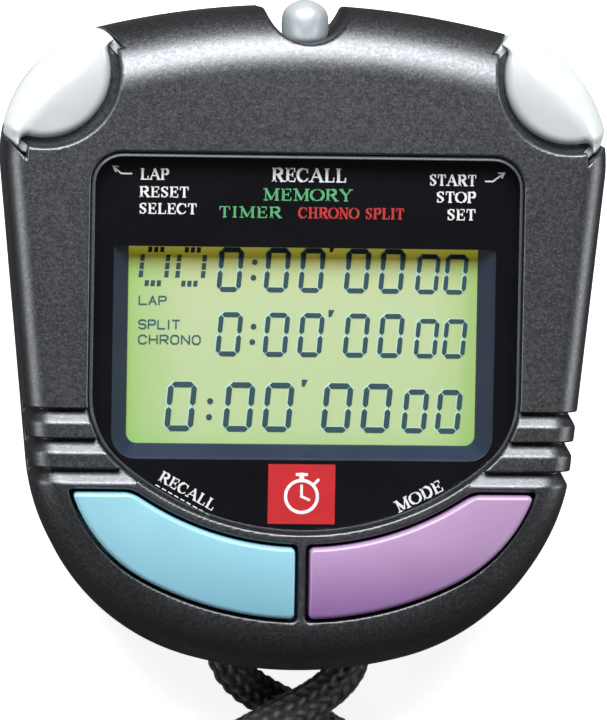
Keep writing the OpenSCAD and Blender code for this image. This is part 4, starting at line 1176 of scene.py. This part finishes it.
# the pen's way through each letter, with a semicolon where it lifts
FINE = {
    "A": "0,0 50,100 100,0; 20,36 80,36",
    "C": "100,80 75,100 25,100 0,75 0,25 25,0 75,0 100,20",
    "H": "0,0 0,100; 100,0 100,100; 0,50 100,50",
    "I": "50,0 50,100",
    "L": "0,100 0,0 100,0",
    "N": "0,0 0,100 100,0 100,100",
    "O": "25,0 75,0 100,25 100,75 75,100 25,100 0,75 0,25 25,0",
    "P": "0,0 0,100 80,100 100,85 100,62 80,47 0,47",
    "R": "0,0 0,100 80,100 100,85 100,62 80,47 0,47; 50,47 100,0",
    "S": "100,85 78,100 22,100 0,85 0,62 22,52 78,50 100,38 100,15 78,0 22,0 0,15",
    "T": "0,100 100,100; 50,0 50,100",
}


def fine_letters(text, x0, x1, y0, y1, weight=0.16):
    """Plain single-stroke capitals set between two heights and two sides."""
    widths = [0.35 if c == "I" else 1.0 for c in text]
    gap = 0.42
    unit_w = (x1 - x0) / (sum(widths) + gap * (len(text) - 1))
    out, x = [], x0
    for c, w in zip(text, widths):
        for path in FINE[c].split("; "):
            pen = [point(p) for p in path.split()]
            ends = [np.array([x + p * w * unit_w, y0 + q * (y1 - y0)]) for p, q in pen]
            for a, b in zip(ends, ends[1:]):
                d = unit(b - a) * weight / 2
                out.append(stroke(a, b, d * 0.6, square_to(d)))
        x += (w + gap) * unit_w
    return out


def grown(poly, d, shift):
    """A convex outline pushed out by about d and moved by shift."""
    c = np.mean(poly, axis=0)
    return [tuple(np.array(p) + d * unit(np.array(p) - c) + shift) for p in poly]


signs = fine_letters("LAP", -17.9, -15.0, 3.42, 4.3)
signs += fine_letters("SPLIT", -17.9, -13.5, 0.78, 1.7)
signs += fine_letters("CHRONO", -17.9, -11.2, -0.88, 0.04)
# a pale rim round each digit segment, moved a little to the left: a painted highlight
painted_rim_light = [grown(poly, 0.13, (-0.06, 0.02)) for poly in segments if len(poly) == 6]
for name, shapes, low, high, look in (
    ("display_signs", signs, LCD_Z, 14.65, "sign_ink"),
    ("display_digits", segments, LCD_Z, 14.66, "segment"),
    ("display_painted_rim_light", painted_rim_light, 14.6, 14.605, "segment_painted_rim"),
):
    finish_piece(flat_shapes(name, shapes, low, high), look, "case", ())


# ------------------------------------------------------------------ printing
STROKE_W = {"k": 0.2, "n": 0.085}
WORD_SPACE = 0.5


def pen(way):
    """Strokes on the pen's way through a letter: k is a thick one, n a thin one, and a
    semicolon is where the pen lifts."""
    out = []
    for path in way.split("; "):
        p = path.split()
        for k in range(0, len(p) - 2, 2):
            out.append((point(p[k]), point(p[k + 2]), STROKE_W[p[k + 1]]))
    return out


def bowl(middle, half, turns, thick):
    """Strokes round a bowl, thick at the places listed."""
    p = [(middle + half * math.sin(rad(a)), 0.5 + 0.5 * math.cos(rad(a))) for a in turns]
    return [(p[k], p[k + 1], STROKE_W["k" if k in thick else "n"]) for k in range(len(p) - 1)]


# each letter's width, its strokes, and where its serifs stand at the foot and at the head
SERIF = {
    "A": (1.0, pen("8,0 n 50,100 k 92,0; 22,35 n 78,35"), (0.08, 0.92), ()),
    "C": (0.9, bowl(0.52, 0.48, range(125, 414, 24), range(3, 9)) + pen("90,70 n 90,98"), (), ()),
    "D": (0.95, pen("20,0 k 20,100 n 60,100 k 86,80 k 93,50 k 86,20 k 60,0 n 20,0"),
          (0.2,), (0.2,)),
    "E": (0.8, pen("22,0 k 22,100 n 90,100; 22,52 n 70,52; 22,0 n 92,0; 90,100 n 90,78; "
                   "92,0 n 95,24; 70,40 n 70,64"), (0.22,), (0.22,)),
    "H": (1.0, pen("20,0 k 20,100; 80,0 k 80,100; 20,52 n 80,52"), (0.2, 0.8), (0.2, 0.8)),
    "I": (0.42, pen("50,0 k 50,100"), (0.5,), (0.5,)),
    "L": (0.8, pen("24,0 k 24,100; 24,0 n 92,0 n 95,28"), (0.24,), (0.24,)),
    "M": (1.2, pen("15,0 n 15,100 k 50,8 n 85,100; 85,0 k 85,100"), (0.15, 0.85), (0.12, 0.88)),
    "N": (1.0, pen("18,0 n 18,100 k 84,0 n 84,100"), (0.18,), (0.14, 0.84)),
    "O": (0.95, bowl(0.5, 0.5, range(0, 361, 24), (2, 3, 4, 5, 9, 10, 11, 12)), (), ()),
    "P": (0.8, pen("22,0 k 22,100 n 68,100 k 88,88 k 88,62 k 68,48 n 22,48"), (0.22,), (0.22,)),
    "R": (0.95, pen("20,0 k 20,100 n 60,100 k 80,88 k 80,64 k 60,52 n 20,52; 50,52 k 88,0"),
          (0.2, 0.9), (0.2,)),
    "S": (0.72, pen("85,80 n 70,97 n 40,100 n 18,88 k 20,66 k 78,38 k 82,16 n 60,0 n 30,2 "
                    "n 14,20; 14,2 n 14,26; 86,76 n 86,99"), (), ()),
    "T": (0.85, pen("50,0 k 50,100; 8,100 n 92,100; 8,100 n 6,74; 92,100 n 94,74"), (0.5,), ()),
    "Y": (0.95, pen("10,100 k 50,48; 90,100 n 50,48 k 50,0"), (0.5,), (0.12, 0.88)),
}


def box(x, y, half_w, half_h):
    left, right, low, high = x - half_w, x + half_w, y - half_h, y + half_h
    return [(left, low), (right, low), (right, high), (left, high)]


def serif_word(text, x0, x1, y0, y1):
    """Roman capitals with thick and thin strokes and serifs, fitted to a box."""
    gap, tall = 0.14, y1 - y0
    total = sum(SERIF[c][0] if c != " " else WORD_SPACE for c in text) + gap * (len(text) - 1)
    k = (x1 - x0) / total
    serif_w, serif_h = 0.17 * tall, 0.045 * tall
    out, x = [], x0
    for c in text:
        if c == " ":
            x += (WORD_SPACE + gap) * k
            continue
        width, strokes, feet, heads = SERIF[c]

        def place(p):
            return np.array([x + p[0] * width * k, y0 + (0.05 + p[1] * 0.9) * tall])

        for p, q, w in strokes:
            a, b = place(p), place(q)
            d = unit(b - a)
            out.append(stroke(a, b, d * min(w, 0.09) * tall * 0.5, square_to(d) * w * tall / 2))
        for at in [(f, 0.0) for f in feet] + [(f, 1.0) for f in heads]:
            out.append(box(*place(at), serif_w, serif_h))
        x += (width + gap) * k
    return out


def turned(shapes, centre, degrees):
    a = rad(degrees)
    c, s = math.cos(a), math.sin(a)
    x0, y0 = centre
    return [[(x0 + (x * c - y * s), y0 + (x * s + y * c)) for x, y in p] for p in shapes]


def shifted(points):
    return [(x + SHIFT, y) for x, y in points]


SHIFT = -0.22
white_marks = []
for word, x0, x1, y1, y0 in (
    ("LAP", -17.9, -14.85, 18.35, 17.1), ("RESET", -18.0, -12.65, 16.4, 15.2),
    ("SELECT", -18.0, -11.75, 14.6, 13.4), ("RECALL", -3.6, 4.5, 18.6, 17.05),
    ("START", 13.65, 18.75, 18.1, 16.85), ("STOP", 14.45, 18.75, 16.25, 15.0),
    ("SET", 15.65, 18.75, 14.35, 13.1),
):
    white_marks += serif_word(word, x0 + SHIFT, x1 + SHIFT, y0, y1)
# arrows that point at the corner buttons
for points, w in (
    ([(-18.9, 17.75), (-20.0, 17.75), (-20.9, 18.5)], 0.16),
    ([(-20.6, 17.95), (-20.95, 18.55), (-20.35, 18.5)], 0.14),
    ([(19.8, 17.4), (20.6, 17.4), (21.8, 18.3)], 0.16),
    ([(21.2, 18.3), (21.85, 18.36), (21.6, 17.8)], 0.14),
):
    white_marks += line(shifted(points), w)
# the names of the two keys, each over a row of dashes
for word, half_w, half_h, dashes, first, dash_y, x, y, lean in (
    ("RECALL", 3.4, 0.62, 9, -3.3, -1.15, -12.25, -16.75, -29),
    ("MODE", 2.75, 0.68, 7, -2.6, -1.2, 13.1, -17.15, 27),
):
    marks = serif_word(word, -half_w, half_w, -half_h, half_h)
    for k in range(dashes):
        marks += line([(first + k * 0.78, dash_y), (first + 0.4 + k * 0.78, dash_y)], 0.12)
    white_marks += turned(marks, (x + SHIFT, y), lean)
green_marks = serif_word("MEMORY", -4.5 + SHIFT, 5.2 + SHIFT, 15.0, 16.35)
green_marks += serif_word("TIMER", -9.3 + SHIFT, -2.5 + SHIFT, 13.1, 14.35)
red_marks = serif_word("CHRONO SPLIT", -0.6 + SHIFT, 10.9 + SHIFT, 13.1, 14.35)
left, right, low, high = -3.45 + SHIFT, 3.9 + SHIFT, -20.3, -13.75
block = [[(left, low), (right, low), (right, high), (left, high)]]
# a plain dial sign on the block: a ring with two hands, a crown and a side button
cx, cy = (left + right) / 2, (low + high) / 2 - 0.25
ring_points = [(1.75 * math.sin(rad(a)), 1.75 * math.cos(rad(a))) for a in range(0, 361, 12)]
dial = []
for points, w in (
    (ring_points, 0.34), ([(0, 0), (0, 1.15)], 0.28), ([(0, 0), (0.8, -0.35)], 0.28),
    ([(0, 1.8), (0, 2.35)], 0.5), ([(-0.5, 2.4), (0.5, 2.4)], 0.32),
    ([(1.35, 1.35), (1.8, 1.8)], 0.3),
):
    dial += line([(cx + x, cy + y) for x, y in points], w)
for name, shapes, heights, look in (
    ("print_white", white_marks, INK_Z, "white_ink"),
    ("print_green", green_marks, INK_Z, "green_ink"),
    ("print_red", red_marks, INK_Z, "red_ink"), ("print_block", block, INK_Z, "red_block"),
    ("print_sign", dial, (16.815, 16.835), "white_ink"),
):
    finish_piece(flat_shapes(name, shapes, *heights), look, "case", ())


# ------------------------------------------------------------------ springs and domes
def around(n):
    return [(math.cos(2 * math.pi * j / n), math.sin(2 * math.pi * j / n)) for j in range(n)]


def helix(name, start, direction, length, r_mid, turns):
    """A compression spring with closed ends, drawn as a swept wire."""
    d = Vector(direction).normalized()
    a = d.orthogonal().normalized()
    b = d.cross(a)
    s = Vector(start)
    n, sides = int(turns * 28), 10
    pts = []
    for k in range(n + 1):
        lead = smooth((k / n - 0.12) / 0.76)
        ang = 2 * math.pi * turns * (k / n)
        rise = d * (WIRE_R + (length - 2 * WIRE_R) * lead)
        pts.append(s + rise + a * r_mid * math.cos(ang) + b * r_mid * math.sin(ang))
    loops = []
    for k, p in enumerate(pts):
        t = (pts[min(k + 1, n)] - pts[max(k - 1, 0)]).normalized()
        e1 = t.cross(d).normalized()
        e2 = t.cross(e1).normalized()
        loops.append([tuple(p + e1 * WIRE_R * c + e2 * WIRE_R * w) for c, w in around(sides)])
    return face_outwards(new_piece(name, *strip(loops)))


WIRE_R = 0.22
for name, direction, at, length, r_mid, turns in (
    ("start", (1, 1, 0), SPRING_U, 5.4, 1.78, 5), ("lap", (-1, 1, 0), SPRING_U, 5.4, 1.78, 5),
    ("crown", (0, 1, 0), SPRING_Y, 3.0, 1.6, 3.5),
):
    d = Vector(direction).normalized()
    start = (d.x * at, d.y * at, STEM_Z)
    spring = helix(name + "_spring_coil", start, direction, length, r_mid, turns)
    finish_piece(spring, "spring", "case", (name + "_spring",))
    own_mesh(spring)

DOME_PROFILE = (
    (3.4, 11.2), (3.4, 11.35), (2.9, 11.6), (2.3, 11.95), (2.05, 12.3), (1.95, 12.45),
    (1.6, 12.54), (0.6, 12.55),
)
for side_x, key in ((-PLUNGER_X, "recall"), (PLUNGER_X, "mode")):
    loops = []
    for r, z in DOME_PROFILE:
        loops.append([(side_x + r * c, PLUNGER_Y + r * s, z) for c, s in around(40)])
    dome = face_outwards(new_piece(key + "_rubber_dome", *strip(loops)))
    finish_piece(dome, "silicone", "case", (key + "_dome",))
    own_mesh(dome)


# ------------------------------------------------------------------ battery hatch
HATCH_LOW, HATCH_MID, HATCH_HIGH = 0.4, 1.9, 2.9
HUB_R, LUG_Z, COIN_X, COIN_Y, COIN_Z = 10.8, 2.1, 6.5, 0.9, 1.4
LINE_R, LINE_HALF, LINE_Z, SEAL_Z, SEAL_R = 9.2, 0.35, 0.6, 1.15, 0.5


def hatch_shape(x, y, z):
    """A disc with a coin slot and a ring line outside, and a hub with three lugs inside."""
    away = np.hypot(x, y - CELL_Y)
    f = meet(away - HATCH_R, between(z, HATCH_LOW, HATCH_MID), 0.25)
    f = np.minimum(f, np.maximum(away - HUB_R, between(z, HATCH_MID - 0.1, HATCH_HIGH)))
    lug = np.maximum(hatch_lugs(x, y, 15, LUG_R), 9.5 - away)
    f = np.minimum(f, np.maximum(lug, between(z, LUG_Z, HATCH_HIGH)))
    coin_slot = np.maximum(np.abs(x) - COIN_X, np.abs(y - CELL_Y) - COIN_Y)
    f = cut(f, np.maximum(coin_slot, z - COIN_Z), 0.15)
    f = cut(f, np.maximum(np.abs(away - LINE_R) - LINE_HALF, z - LINE_Z), 0.1)
    return cut(f, np.hypot(away - HATCH_R, z - SEAL_Z) - SEAL_R)


hatch = surface("hatch_cap", hatch_shape, (-13.5, -10.5, 0.3), (13.5, 16.5, 3.0), GRID)
finish_piece(hatch, "rear", "battery_hatch", ("battery_hatch",))

# ------------------------------------------------------------------ CAD nodes that stay
STAYS = {
    "rubber": "case_gasket hatch_seal start_seal lap_seal crown_seal lanyard_tie",
    "steel": "case_screws board_screws start_stem lap_stem crown_stem lanyard_ferrule",
    "spring": "start_clip lap_clip crown_clip buzzer_spring",
    "brass": "cell_plus_clip cell_minus_spring buzzer_disc start_contact lap_contact crown_contact",
    "cell": "coin_cell quartz_can", "white": "module_frame cell_holder board_parts",
    "board": "main_board", "chip": "chip_cover", "zebra": "lcd_connectors",
    "silicone": "keypad_sheet", "lcd": "lcd_front_glass", "cord_inside": "lanyard_inner",
    "reflector": "lcd_rear_glass lcd_reflector",
}
for look, names in STAYS.items():
    for name in names.split():
        obj = nodes[name]
        if obj.data.materials:
            for slot in obj.material_slots:
                slot.material = MAT[look]
        else:
            obj.data.materials.append(MAT[look])

# ------------------------------------------------------------------ stage and light
FLOOR_HALF, FLOOR_Z = 3, -0.00005
floor_mesh = bpy.data.meshes.new("floor")
floor_corners = ((-1, -1), (1, -1), (1, 1), (-1, 1))
floor_mesh.from_pydata(
    [(x * FLOOR_HALF, y * FLOOR_HALF, FLOOR_Z) for x, y in floor_corners], [], [(0, 1, 2, 3)]
)
floor = bpy.data.objects.new("floor", floor_mesh)
SCENE.collection.objects.link(floor)
floor_mat, _, sh = nodes_of("floor_white")
sh.inputs["Base Color"].default_value = (0.8, 0.8, 0.8, 1)
sh.inputs["Roughness"].default_value = 0.8
sh.inputs["Emission Color"].default_value = (1, 1, 1, 1)
sh.inputs["Emission Strength"].default_value = 0.8
floor.visible_glossy = False
floor_mesh.materials.append(floor_mat)

world = bpy.data.worlds.new("world")
SCENE.world = world
world.use_nodes = True
sky = world.node_tree.nodes["Background"]
sky.inputs["Color"].default_value = (1, 1, 1, 1)
sky.inputs["Strength"].default_value = 0.035


def area_light(name, at, size, energy):
    data = bpy.data.lights.new(name, "AREA")
    data.shape = "RECTANGLE"
    data.size, data.size_y = size
    data.energy = energy
    obj = bpy.data.objects.new(name, data)
    obj.location = at
    obj.rotation_mode = "QUATERNION"
    obj.rotation_quaternion = (LIGHTS_AIM - Vector(at)).to_track_quat("-Z", "Y")
    SCENE.collection.objects.link(obj)


LIGHTS_AIM = Vector((0, 0, 0.01))
area_light("key_light", (-0.05, 0.62, 0.62), (0.9, 0.5), 17)
area_light("left_light", (-0.8, 0.0, 0.25), (0.5, 0.4), 2.5)
area_light("right_light", (0.8, 0.0, 0.25), (0.5, 0.4), 2.5)

SCENE.view_settings.view_transform = "Standard"
